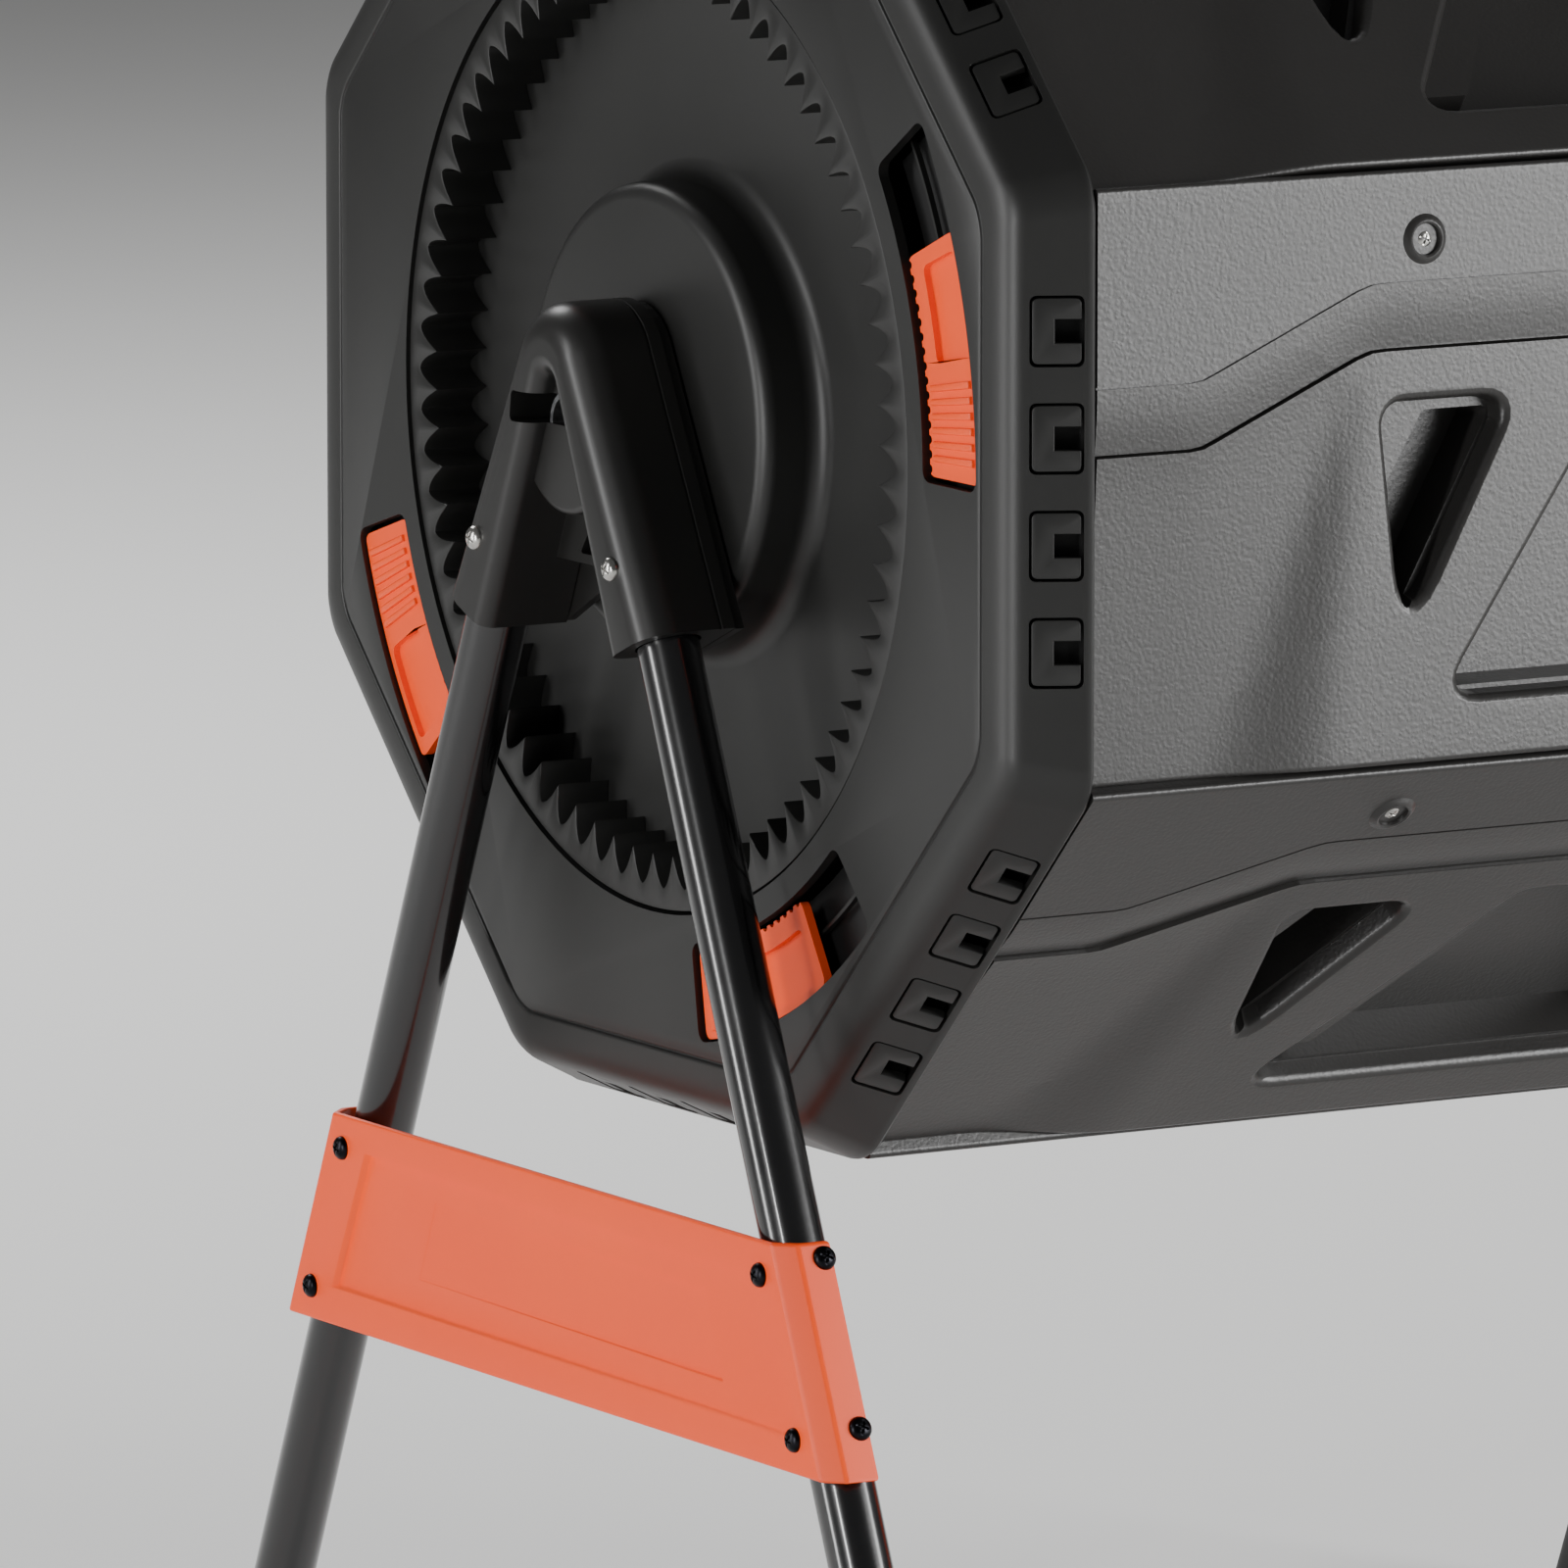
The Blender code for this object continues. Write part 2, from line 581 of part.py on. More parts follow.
def hub_housing(finish):
    """Outer hub moulding: two sockets for the legs, a web between them and a bump over the axle's end."""
    face = -HALF_LENGTH
    back, front = face - HUB_BACK, face - HUB_FRONT
    hub = mesh_object("hub_housing_left", prism(hub_outline(), front, back), finish)
    web = prism(hub_outline(-0.001, False), back - HUB_WEB, back - 0.001)
    bump_front = front + HUB_BUMP_INSET
    edge = HUB_BUMP_EDGE
    bump = turned([(bump_front, 0), (bump_front, HUB_BUMP_RADIUS - edge),
                   (bump_front + edge, HUB_BUMP_RADIUS), (back - 0.002, HUB_BUMP_RADIUS), (back - 0.002, 0)], 32)
    carve(hub, [mesh_object("cut", web)], "UNION")
    carve(hub, [mesh_object("cut", bump)], "UNION")
    cutters = [mesh_object("cut", rod(-AXLE_END - GAP, back + 0.01, AXLE_RADIUS + GAP))]
    start, bore = along_leg(LEG_DROP) - GAP, TUBE_RADIUS + GAP
    for side in (-1, 1):
        past = along_leg(HUB_SOCKET_END) + 2 * bore
        socket = leg_turned(side, [(start, 0), (start, bore), (past, bore), (past, 0)], 24)
        cutters.append(mesh_object("cut", socket))
    carve(hub, cutters)
    hub.location = DRUM_CENTRE
    return hub


def hub_cover(finish):
    """Flat plate that closes the hub towards the drum, round the axle."""
    face = -HALF_LENGTH
    plate = prism(hub_outline(-HUB_COVER_INSET, False), face - HUB_BACK + GAP, face - HUB_COVER_BACK)
    cover = mesh_object("hub_cover_left", plate, finish)
    carve(cover, [mesh_object("cut", rod(face - 2 * HUB_BACK, face, AXLE_RADIUS + GAP))])
    cover.location = DRUM_CENTRE
    return cover


def axle_tube(finish):
    """Steel tube from hub to hub, which the drum turns on."""
    inner, end = AXLE_RADIUS - AXLE_WALL, AXLE_END
    bm = turned([(end, inner), (end, AXLE_RADIUS), (-end, AXLE_RADIUS), (-end, inner)], 24)
    axle = mesh_object("axle_tube", bm, finish, smooth=True)
    axle.location = DRUM_CENTRE
    return axle


def brace_panel(finish):
    """Channel-shaped moulding over the front of both legs of a frame."""
    face = -HALF_LENGTH
    front, back = face - BRACE_FRONT, face - BRACE_BACK
    chamfer = BRACE_SIDE - BRACE_LIP

    def section(drop, wall):
        axis = leg_offset(drop)
        lip, side = axis + BRACE_LIP - wall / 2, axis + BRACE_SIDE - wall
        x = front + wall
        rear = back if wall == 0 else back + 0.01
        return [(x, -lip), (x + chamfer, -side), (rear, -side), (rear, side), (x + chamfer, side), (x, lip)]

    def body(wall, over):
        low, high = BRACE_TOP + BRACE_HEIGHT + over, BRACE_TOP - over
        return loft([[(x, y, -drop) for x, y in section(drop, wall)] for drop in (low, high)])

    brace = mesh_object("brace_panel_left", body(0, 0), finish)
    carve(brace, [mesh_object("cut", body(BRACE_WALL, 0.01))])
    brace.location = DRUM_CENTRE
    return brace


def screw(name, position, finish):
    """Round-headed screw whose head stands out towards -X; its shank is hidden in the part below."""
    rim = SCREW_HEAD_RADIUS
    tall = SCREW_HEAD_HEIGHT
    bm = turned([(0, 0), (0, rim), (-tall * 0.45, rim * 0.92), (-tall * 0.82, rim * 0.60), (-tall, 0)], 12)
    bmesh.ops.translate(bm, verts=bm.verts, vec=position)
    made = mesh_object(name, bm, finish, smooth=True)
    made.location = DRUM_CENTRE
    return made


def stand_screws(steel, black):
    """Screws of one hub and one brace."""
    made = []
    hub_face = -HALF_LENGTH - HUB_FRONT - GAP
    brace_face = -HALF_LENGTH - BRACE_FRONT - GAP
    for label, side in (("front", -1), ("rear", 1)):
        drop = HUB_SOCKET_END - 0.030
        made.append(screw("hub_screw_left_" + label, (hub_face, side * leg_offset(drop), -drop), steel))
        for level, drop in (("upper", BRACE_TOP + 0.014), ("lower", BRACE_TOP + BRACE_HEIGHT - 0.014)):
            spot = (brace_face, side * leg_offset(drop), -drop)
            made.append(screw("brace_screw_left_%s_%s" % (label, level), spot, black))
    return made


# ---------------------------------------------------------------- assembly
def main():
    for existing in list(bpy.data.objects):
        bpy.data.objects.remove(existing)
    black_plastic = material("black_plastic", "232326", 0.45)
    panel_plastic = material("panel_plastic", "3A3A3C", 0.5)
    inner_plastic = material("inner_plastic", "1B1B1C", 0.6)
    orange_plastic = material("orange_plastic", "F4602E", 0.4)
    gloss_tube = material("gloss_tube", "141416", 0.2, 0.3)
    bright_steel = material("bright_steel", "C8C8C8", 0.25, 1.0)
    black_steel = material("black_steel", "1A1A1A", 0.3, 0.8)
    axle_steel = material("axle_steel", "A8A9AB", 0.35, 1.0)

    ends = [end_cap(black_plastic), gear_ring(black_plastic), bush(inner_plastic),
            hub_housing(black_plastic), hub_cover(black_plastic), brace_panel(orange_plastic)]
    for k, angle in enumerate(VENT_ANGLES):
        ends.append(vent_slider("vent_slider_left_%d" % (k + 1), math.radians(angle), orange_plastic))
    for label, side in (("front", -1), ("rear", 1)):
        ends.append(leg_tube("leg_tube_left_" + label, side, gloss_tube))
        ends.append(foot_cap("foot_cap_left_" + label, side, black_plastic))
    ends += stand_screws(bright_steel, black_steel)
    for piece in ends:
        twin(piece)

    side_panels(panel_plastic)
    door_panel(panel_plastic)
    door("door_left", -1, black_plastic)
    door("door_right", 1, black_plastic)
    divider(inner_plastic)
    axle_tube(axle_steel)
    bpy.context.view_layer.update()


main()
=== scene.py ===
"""Looks of the compost tumbler: moulded covers, toothed ring, vents, panels, doors, hubs and tubes."""
import math

import bmesh
import bpy
from mathutils import Matrix, Vector


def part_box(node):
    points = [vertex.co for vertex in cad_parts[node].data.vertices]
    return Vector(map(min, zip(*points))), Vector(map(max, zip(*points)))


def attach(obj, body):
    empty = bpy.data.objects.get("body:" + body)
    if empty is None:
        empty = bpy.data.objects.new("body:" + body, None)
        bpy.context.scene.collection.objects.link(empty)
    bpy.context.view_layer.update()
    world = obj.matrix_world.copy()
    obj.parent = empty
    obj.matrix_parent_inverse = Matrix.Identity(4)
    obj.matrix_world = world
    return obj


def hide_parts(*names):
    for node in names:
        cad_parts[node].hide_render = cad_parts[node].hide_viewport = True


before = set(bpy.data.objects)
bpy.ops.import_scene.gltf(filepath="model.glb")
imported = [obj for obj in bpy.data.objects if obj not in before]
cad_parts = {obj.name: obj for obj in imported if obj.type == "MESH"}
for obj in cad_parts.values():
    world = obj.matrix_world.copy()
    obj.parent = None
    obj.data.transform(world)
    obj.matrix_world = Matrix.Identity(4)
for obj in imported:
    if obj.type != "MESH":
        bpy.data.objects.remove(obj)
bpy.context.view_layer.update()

# ---------------------------------------------------------------- places read from the frame
CAP_LOW, CAP_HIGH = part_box("end_cap_left")
AXIS_Z = (CAP_LOW[2] + CAP_HIGH[2]) / 2
APOTHEM = (CAP_HIGH[1] - CAP_LOW[1]) / 2
SEAM = -CAP_HIGH[0]                         # cap's seam from the middle of the drum
BOSS_FRONT = -CAP_LOW[0]
RING_LOW, RING_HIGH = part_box("gear_ring_left")
RING_OUTER = (RING_HIGH[1] - RING_LOW[1]) / 2
FACE = -RING_LOW[0] + 0.001                 # cap's flat face from the middle
WELL_FLOOR = -RING_HIGH[0] - 0.0003
HUB_LOW, HUB_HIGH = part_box("hub_housing_left")
HUB_FRONT = -HUB_LOW[0]
HUB_BACK = -HUB_HIGH[0]
BRACE_LOW, BRACE_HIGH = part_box("brace_panel_left")
PANEL_LOW, PANEL_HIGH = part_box("side_panel_front")
LEG_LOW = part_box("leg_tube_left_front")[0]
AXIS = Vector((0, 0, AXIS_Z))
TAN_HALF = math.tan(math.radians(22.5))
MM = 0.001


# ---------------------------------------------------------------- material kit
def linear(code):
    """sRGB hex to a linear colour."""
    parts = [int(code[i:i + 2], 16) / 255 for i in (1, 3, 5)]
    return [*(p / 12.92 if p <= 0.04045 else ((p + 0.055) / 1.055) ** 2.4 for p in parts), 1.0]


def node(tree, kind, settings=None, links=None):
    """One node with its settings, or a ramp's stops, and with the sockets that feed it."""
    made = tree.nodes.new(kind)
    for key, value in (settings or {}).items():
        if key == "stops":
            for element, stop in zip(made.color_ramp.elements, value):
                element.position, element.color = stop
        elif isinstance(key, str) and hasattr(made, key):
            setattr(made, key, value)
        else:
            made.inputs[key].default_value = value
    for key, source in (links or {}).items():
        tree.links.new(source, made.inputs[key])
    return made


def finish_of(name, settings):
    """A new material and its shader, with constants on the shader's own sockets."""
    made = bpy.data.materials.new(name)
    made.use_nodes = True
    tree = made.node_tree
    shader = tree.nodes["Principled BSDF"]
    for key, value in settings.items():
        shader.inputs[key].default_value = value
    place = node(tree, "ShaderNodeTexCoord").outputs["Object"]
    return made, tree, shader, place


def moulded_satin(name, dark, light, roughness, grit_mm, bump, mottle=0.10):
    """Injection-moulded polypropylene from a spark-eroded tool: an even, very fine grit.

    The eye gets a soft satin highlight that breaks up at its edge, and faint handling marks.
    """
    made, tree, shader, place = finish_of(name, {"IOR": 1.49})
    grit = node(tree, "ShaderNodeTexNoise", {"Scale": 1 / (grit_mm * MM), "Detail": 3.0}, {"Vector": place})
    handling = node(tree, "ShaderNodeTexNoise", {"Scale": 9.0, "Detail": 5.0, "Roughness": 0.6},
                    {"Vector": place})
    colour = node(tree, "ShaderNodeValToRGB", {"stops": [(0.30, linear(dark)), (0.72, linear(light))]},
                  {"Fac": handling.outputs["Fac"]})
    tree.links.new(colour.outputs["Color"], shader.inputs["Base Color"])
    low, high = roughness - mottle / 2, roughness + mottle / 2
    gloss = node(tree, "ShaderNodeMapRange", {"To Min": low, "To Max": high},
                 {"Value": handling.outputs["Fac"]})
    tree.links.new(gloss.outputs["Result"], shader.inputs["Roughness"])
    relief = node(tree, "ShaderNodeBump", {"Strength": bump, "Distance": 0.12 * MM},
                  {"Height": grit.outputs["Fac"]})
    tree.links.new(relief.outputs["Normal"], shader.inputs["Normal"])
    return made


def leather_grain(name, dark, light, roughness):
    """Moulded polypropylene from an etched leather-grain tool.

    Shallow pebbles about 1.6 mm across stand between wandering creases, and catch the light as a stipple.
    """
    made, tree, shader, place = finish_of(name, {"IOR": 1.49})
    wander = node(tree, "ShaderNodeTexNoise", {"Scale": 260.0, "Detail": 2.0}, {"Vector": place})
    shift = node(tree, "ShaderNodeVectorMath", {"operation": "SCALE", "Scale": 1.6 * MM},
                 {0: wander.outputs["Color"]})
    warped = node(tree, "ShaderNodeVectorMath", {"operation": "ADD"}, {0: place, 1: shift.outputs["Vector"]})
    pebbles = node(tree, "ShaderNodeTexVoronoi", {"feature": "SMOOTH_F1", "Scale": 1 / (1.6 * MM)},
                   {"Vector": warped.outputs["Vector"]})
    grit = node(tree, "ShaderNodeTexNoise", {"Scale": 1 / (0.5 * MM), "Detail": 2.0}, {"Vector": place})
    mixed = node(tree, "ShaderNodeMath", {"operation": "MULTIPLY_ADD", 1: 0.35},
                 {0: grit.outputs["Fac"], 2: pebbles.outputs["Distance"]})
    handling = node(tree, "ShaderNodeTexNoise", {"Scale": 7.0, "Detail": 4.0}, {"Vector": place})
    colour = node(tree, "ShaderNodeValToRGB", {"stops": [(0.30, linear(dark)), (0.75, linear(light))]},
                  {"Fac": handling.outputs["Fac"]})
    tree.links.new(colour.outputs["Color"], shader.inputs["Base Color"])
    gloss = node(tree, "ShaderNodeMapRange", {"To Min": roughness - 0.05, "To Max": roughness + 0.05},
                 {"Value": handling.outputs["Fac"]})
    tree.links.new(gloss.outputs["Result"], shader.inputs["Roughness"])
    relief = node(tree, "ShaderNodeBump", {"Strength": 0.55, "Distance": 0.16 * MM, "invert": True},
                  {"Height": mixed.outputs["Value"]})
    tree.links.new(relief.outputs["Normal"], shader.inputs["Normal"])
    return made


def powder_coat(name, code, roughness):
    """Gloss powder coat on steel tube: a hard skin with the faint orange peel of a baked coat."""
    made, tree, shader, place = finish_of(name, {
        "Base Color": linear(code), "IOR": 1.5, "Coat Weight": 0.6, "Coat Roughness": 0.08})
    peel = node(tree, "ShaderNodeTexNoise", {"Scale": 1 / (2.2 * MM), "Detail": 1.5}, {"Vector": place})
    scuff = node(tree, "ShaderNodeTexNoise", {"Scale": 30.0, "Detail": 6.0, "Roughness": 0.65},
                 {"Vector": place})
    gloss = node(tree, "ShaderNodeMapRange", {"To Min": roughness - 0.05, "To Max": roughness + 0.09},
                 {"Value": scuff.outputs["Fac"]})
    tree.links.new(gloss.outputs["Result"], shader.inputs["Roughness"])
    relief = node(tree, "ShaderNodeBump", {"Strength": 0.12, "Distance": 0.1 * MM},
                  {"Height": peel.outputs["Fac"]})
    tree.links.new(relief.outputs["Normal"], shader.inputs["Normal"])
    return made


def plated_steel(name, dark, light, roughness):
    """Zinc-plated or blackened steel, with a faint bloom of colour and gloss in the plating."""
    made, tree, shader, place = finish_of(name, {"Metallic": 1.0})
    bloom = node(tree, "ShaderNodeTexNoise", {"Scale": 1 / (3.0 * MM), "Detail": 4.0}, {"Vector": place})
    colour = node(tree, "ShaderNodeValToRGB", {"stops": [(0.3, linear(dark)), (0.7, linear(light))]},
                  {"Fac": bloom.outputs["Fac"]})
    tree.links.new(colour.outputs["Color"], shader.inputs["Base Color"])
    gloss = node(tree, "ShaderNodeMapRange", {"To Min": roughness - 0.06, "To Max": roughness + 0.08},
                 {"Value": bloom.outputs["Fac"]})
    tree.links.new(gloss.outputs["Result"], shader.inputs["Roughness"])
    return made


CAP_BLACK = moulded_satin("satin_black_polypropylene", "#1A1A19", "#1F1F1E", 0.42, 0.45, 0.26)
HUB_BLACK = moulded_satin("smooth_black_polypropylene", "#191918", "#1E1D1C", 0.36, 0.6, 0.10)
FOOT_BLACK = moulded_satin("matt_black_polyethylene", "#151515", "#1B1B1B", 0.6, 0.8, 0.4)
# Darker than the moulded black and kept for the insides of windows, slots and the drum: painted shade in the
# hollows.
PAINTED_SHADE_BLACK = moulded_satin("plain_black_polypropylene", "#0B0B0B", "#101010", 0.55, 0.8, 0.2)
PANEL_GREY = leather_grain("leather_grain_polypropylene", "#252423", "#2B2A29", 0.35)
ORANGE = moulded_satin("orange_polypropylene", "#FB4A00", "#FF5000", 0.45, 0.5, 0.18, 0.06)
TUBE_BLACK = powder_coat("gloss_black_powder_coat", "#0B0B0C", 0.22)
BRIGHT = plated_steel("bright_zinc_plate", "#A9A8A4", "#CFCDC8", 0.22)
BLACKENED = plated_steel("black_oxide_steel", "#17171A", "#26262A", 0.30)
AXLE_STEEL = plated_steel("zinc_plated_tube", "#8E9092", "#B2B3B5", 0.34)


# ---------------------------------------------------------------- mesh kit
def shown(name, bm, smooth=32, recalc=True):
    """An object from a bmesh, smooth but for its sharp edges."""
    if recalc:
        bmesh.ops.recalc_face_normals(bm, faces=bm.faces)
    mesh = bpy.data.meshes.new(name)
    bm.to_mesh(mesh)
    bm.free()
    mesh.shade_smooth()
    if smooth:
        mesh.set_sharp_from_angle(angle=math.radians(smooth))
    made = bpy.data.objects.new(name, mesh)
    bpy.context.scene.collection.objects.link(made)
    return made


def dressed(piece, finish, body, stands_for=()):
    """Give a piece its finish, its body and the CAD nodes that it replaces."""
    piece.data.materials.clear()
    piece.data.materials.append(finish)
    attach(piece, body)
    if stands_for:
        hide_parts(*stands_for)
    return piece


def baked(piece):
    """The piece with its modifiers applied to its mesh."""
    bpy.context.view_layer.update()
    depsgraph = bpy.context.evaluated_depsgraph_get()
    result = bpy.data.meshes.new_from_object(piece.evaluated_get(depsgraph))
    piece.modifiers.clear()
    piece.data = result
    return piece


def carved(piece, cutters, operation="DIFFERENCE"):
    """Cut the cutters out of a piece, or join them to it, and remove them."""
    for cutter in cutters:
        step = piece.modifiers.new("carve", "BOOLEAN")
        step.operation = operation
        step.solver = "EXACT"
        step.object = cutter
    baked(piece)
    for cutter in cutters:
        bpy.data.objects.remove(cutter)
    return piece


def softened(piece, width, segments=3, angle=34):
    """Round the piece's sharp edges."""
    piece.data.shade_smooth()
    step = piece.modifiers.new("soft_edges", "BEVEL")
    step.width = width
    step.segments = segments
    step.limit_method = "ANGLE"
    step.angle_limit = math.radians(angle)
    step.harden_normals = True
    step.miter_outer = "MITER_ARC"
    return baked(piece)


def merged(parts):
    """One bmesh from several."""
    whole = bmesh.new()
    for part in parts:
        mesh = bpy.data.meshes.new("part")
        part.to_mesh(mesh)
        part.free()
        whole.from_mesh(mesh)
        bpy.data.meshes.remove(mesh)
    return whole


def moved(bm, matrix):
    bmesh.ops.transform(bm, verts=bm.verts, matrix=matrix)
    return bm


def turned(profile, segments, angle=2 * math.pi):
    """An (x, radius) profile spun about the X axis."""
    bm = bmesh.new()
    verts = [bm.verts.new((x, 0, radius)) for x, radius in profile]
    edges = [bm.edges.new(pair) for pair in zip(verts, verts[1:] + verts[:1])]
    bmesh.ops.spin(bm, geom=verts + edges, cent=(0, 0, 0), axis=(1, 0, 0), angle=angle,
                   steps=segments, use_merge=True)
    bmesh.ops.remove_doubles(bm, verts=bm.verts, dist=1e-6)
    bmesh.ops.dissolve_degenerate(bm, edges=bm.edges, dist=1e-6)
    wires = [edge for edge in bm.edges if not edge.link_faces]
    bmesh.ops.delete(bm, geom=wires, context="EDGES")
    return bm


def fillet(corner, radius, start, end, steps=5):
    """(x, radius) points of a quarter round about a centre, between two angles in degrees."""
    points = []
    for i in range(steps + 1):
        angle = math.radians(start + (end - start) * i / steps)
        points.append((corner[0] + radius * math.cos(angle), corner[1] + radius * math.sin(angle)))
    return points


def slab(points, low, high):
    """A plate drawn in the (x, y) plane between two heights."""
    bm = bmesh.new()
    face = bm.faces.new([bm.verts.new((x, y, low)) for x, y in points])
    made = bmesh.ops.extrude_face_region(bm, geom=[face])
    risen = [v for v in made["geom"] if isinstance(v, bmesh.types.BMVert)]
    bmesh.ops.translate(bm, verts=risen, vec=(0, 0, high - low))
    return bm


def rounded(points, radius, steps=4):
    """The outline with its corners rounded to a radius, less where an edge is too short for it."""
    bm = bmesh.new()
    verts = [bm.verts.new((x, y, 0)) for x, y in points]
    bm.faces.new(verts)
    reach = []
    for before, at, after in zip(points[-1:] + points[:-1], points, points[1:] + points[:1]):
        one, two = Vector(before) - Vector(at), Vector(after) - Vector(at)
        reach.append(min(radius / math.tan(one.angle(two) / 2), 0.48 * min(one.length, two.length)))
    for vert, offset in zip(verts, reach):
        bmesh.ops.bevel(bm, geom=[vert], offset=offset, offset_type="OFFSET", affect="VERTICES",
                        segments=steps, profile=0.5, material=-1)
    face = max(bm.faces, key=lambda f: f.calc_area())
    outline = [(v.co.x, v.co.y) for v in face.verts]
    bm.free()
    return outline


def stacked(rings):
    """A closed solid through rings of points, all with the same count."""
    bm = bmesh.new()
    loops = []
    for ring in rings:
        verts = [bm.verts.new(p) for p in ring]
        loops.append([bm.edges.new(pair) for pair in zip(verts, verts[1:] + verts[:1])])
    for one, two in zip(loops, loops[1:]):
        bmesh.ops.bridge_loops(bm, edges=one + two)
    bmesh.ops.edgeloop_fill(bm, edges=loops[0])
    bmesh.ops.edgeloop_fill(bm, edges=loops[-1])
    bmesh.ops.recalc_face_normals(bm, faces=bm.faces)
    return bm


def rectangle(half_x, half_y):
    return [(-half_x, -half_y), (half_x, -half_y), (half_x, half_y), (-half_x, half_y)]


def cleared(bm, low, high):
    """Scratch block between two corners, for cutting."""
    size = [b - a for a, b in zip(low, high)]
    middle = [(a + b) / 2 for a, b in zip(low, high)]
    bmesh.ops.create_cube(bm, size=1)
    bmesh.ops.scale(bm, verts=bm.verts, vec=size)
    bmesh.ops.translate(bm, verts=bm.verts, vec=middle)
    return bm


# Drawings of the drum's end lie in (x, y), with x towards +Y, y up and z into the drum from the cap's face.
END = Matrix(((0, 0, 1, -FACE), (1, 0, 0, 0), (0, 1, 0, AXIS_Z), (0, 0, 0, 1)))
HALF_TURN = Matrix.Rotation(math.pi, 4, "Z")
SWAPS = {"left": "right", "front": "rear", "rear": "front"}


def other_end(name):
    """Name of the same piece at the other end of the tumbler."""
    return "_".join(SWAPS.get(word, word) for word in name.split("_"))


def both_ends(piece, finish, body, stands_for=()):
    """Dress an end piece, and add its twin at the other end."""
    twin = bpy.data.objects.new(other_end(piece.name), piece.data.copy())
    twin.data.transform(HALF_TURN)
    bpy.context.scene.collection.objects.link(twin)
    dressed(piece, finish, body, stands_for)
    dressed(twin, finish, other_end(body), [other_end(n) for n in stands_for])
    return piece, twin


# ---------------------------------------------------------------- end cap
WELL_RADIUS = RING_OUTER + 0.0005
BOSS_RADIUS = 0.095
FACE_FLAT = 0.2586            # apothem where the flat face starts to roll over
FACE_GROOVE = ((0.0003, 0.2559), (0.0009, 0.2562), (0.0011, 0.2565), (0.0011, 0.2568), (0.0009, 0.2571),
               (0.0003, 0.2574), (0.0, 0.2579))    # depth and apothem of the line round the face
FACE_INNER = 0.2554
FACET_TOP = (0.0090, 0.2792)  # depth and apothem where the window facet starts
FACET_FOOT = (0.0272, 0.2882)
CORNER_ROUND = 0.026
WINDOW_PITCH = 0.042
WINDOWS_PER_FLAT = 4
WINDOW_HALF = (0.0108, 0.0140)
TAB_GAP = 0.0011
VENT_SLIDERS = ["vent_slider_left_%d" % k for k in (1, 2, 3, 4)]
VENT_FLANGE = 0.0036          # hidden flange of a slider past its slot
SLOT_OPEN = 0.1756            # radians of a slot left open by its slider
SLOT_CLEAR = 0.0022


def cap_stations():
    """(depth, apothem) from the flat face over the shoulder and the facet to the seam, then back inside."""
    start, end = Vector((0.0, FACE_FLAT)), Vector(FACET_TOP)
    slope = (Vector(FACET_FOOT) - end).normalized()
    pull_a, pull_b = start + Vector((0, 0.0135)), end - slope * 0.0075
    outer = []
    for i in range(1, 11):
        t = i / 10
        outer.append(start * (1 - t) ** 3 + pull_a * 3 * t * (1 - t) ** 2
                     + pull_b * 3 * t * t * (1 - t) + end * t ** 3)
    seam = FACE - SEAM
    outer += [Vector(FACET_FOOT), Vector((seam - 0.0040, 0.2893)), Vector((seam - 0.0022, 0.2896)),
              Vector((seam - 0.0007, 0.2888)), Vector((seam, 0.2868))]
    inner = [(seam, 0.2850), (0.0280, 0.2842), (0.0105, 0.2757), (0.0055, 0.2670), (0.0045, 0.2560)]
    return [*FACE_GROOVE, (0.0, FACE_FLAT)] + [tuple(p) for p in outer] + inner


def cap_blank():
    """The octagonal cover before its openings are cut: one wall, open towards the drum."""
    corner = 1 / math.cos(math.radians(22.5))
    angles = [math.radians(22.5 + 45 * k) for k in range(8)]
    octagon = [(corner * math.cos(angle), corner * math.sin(angle)) for angle in angles]
    outline = rounded(octagon, CORNER_ROUND / APOTHEM, 10)
    return stacked([[(x * apothem, y * apothem, depth) for x, y in outline]
                    for depth, apothem in [(0.0, FACE_INNER)] + cap_stations()])


def polar_span(cad_node):
    """Angles from +Y towards +Z, and radii, that a CAD node fills about the axle."""
    spots = [(v.co.y, v.co.z - AXIS_Z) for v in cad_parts[cad_node].data.vertices]
    radii = [math.hypot(y, z) for y, z in spots]
    middle = math.atan2(sum(z for y, z in spots), sum(y for y, z in spots))
    turns = [(math.atan2(z, y) - middle + math.pi) % (2 * math.pi) - math.pi for y, z in spots]
    return middle + min(turns), middle + max(turns), min(radii), max(radii)


def sector(r0, r1, a0, a1, low, high, steps=20):
    """A curved bar between two radii and two angles, drawn about z."""
    bm = bmesh.new()
    ends = [bm.verts.new((r * math.cos(a0), r * math.sin(a0), low)) for r in (r0, r1)]
    edge = bm.edges.new(ends)
    bmesh.ops.spin(bm, geom=ends + [edge], cent=(0, 0, 0), axis=(0, 0, 1), angle=a1 - a0, steps=steps)
    made = bmesh.ops.extrude_face_region(bm, geom=bm.faces[:])
    risen = [v for v in made["geom"] if isinstance(v, bmesh.types.BMVert)]
    bmesh.ops.translate(bm, verts=risen, vec=(0, 0, high - low))
    bmesh.ops.remove_doubles(bm, verts=bm.verts, dist=1e-6)
    return bm


def rounded_ends(bm, radius, segments=4):
    """Round the four upright corners of a sector."""
    bm.edges.ensure_lookup_table()
    upright = [e for e in bm.edges if abs(e.verts[0].co.z - e.verts[1].co.z) > 1e-5
               and e.calc_face_angle(0) > math.radians(60)]
    bmesh.ops.bevel(bm, geom=upright, offset=radius, affect="EDGES", segments=segments,
                    profile=0.5, material=-1)
    return bm


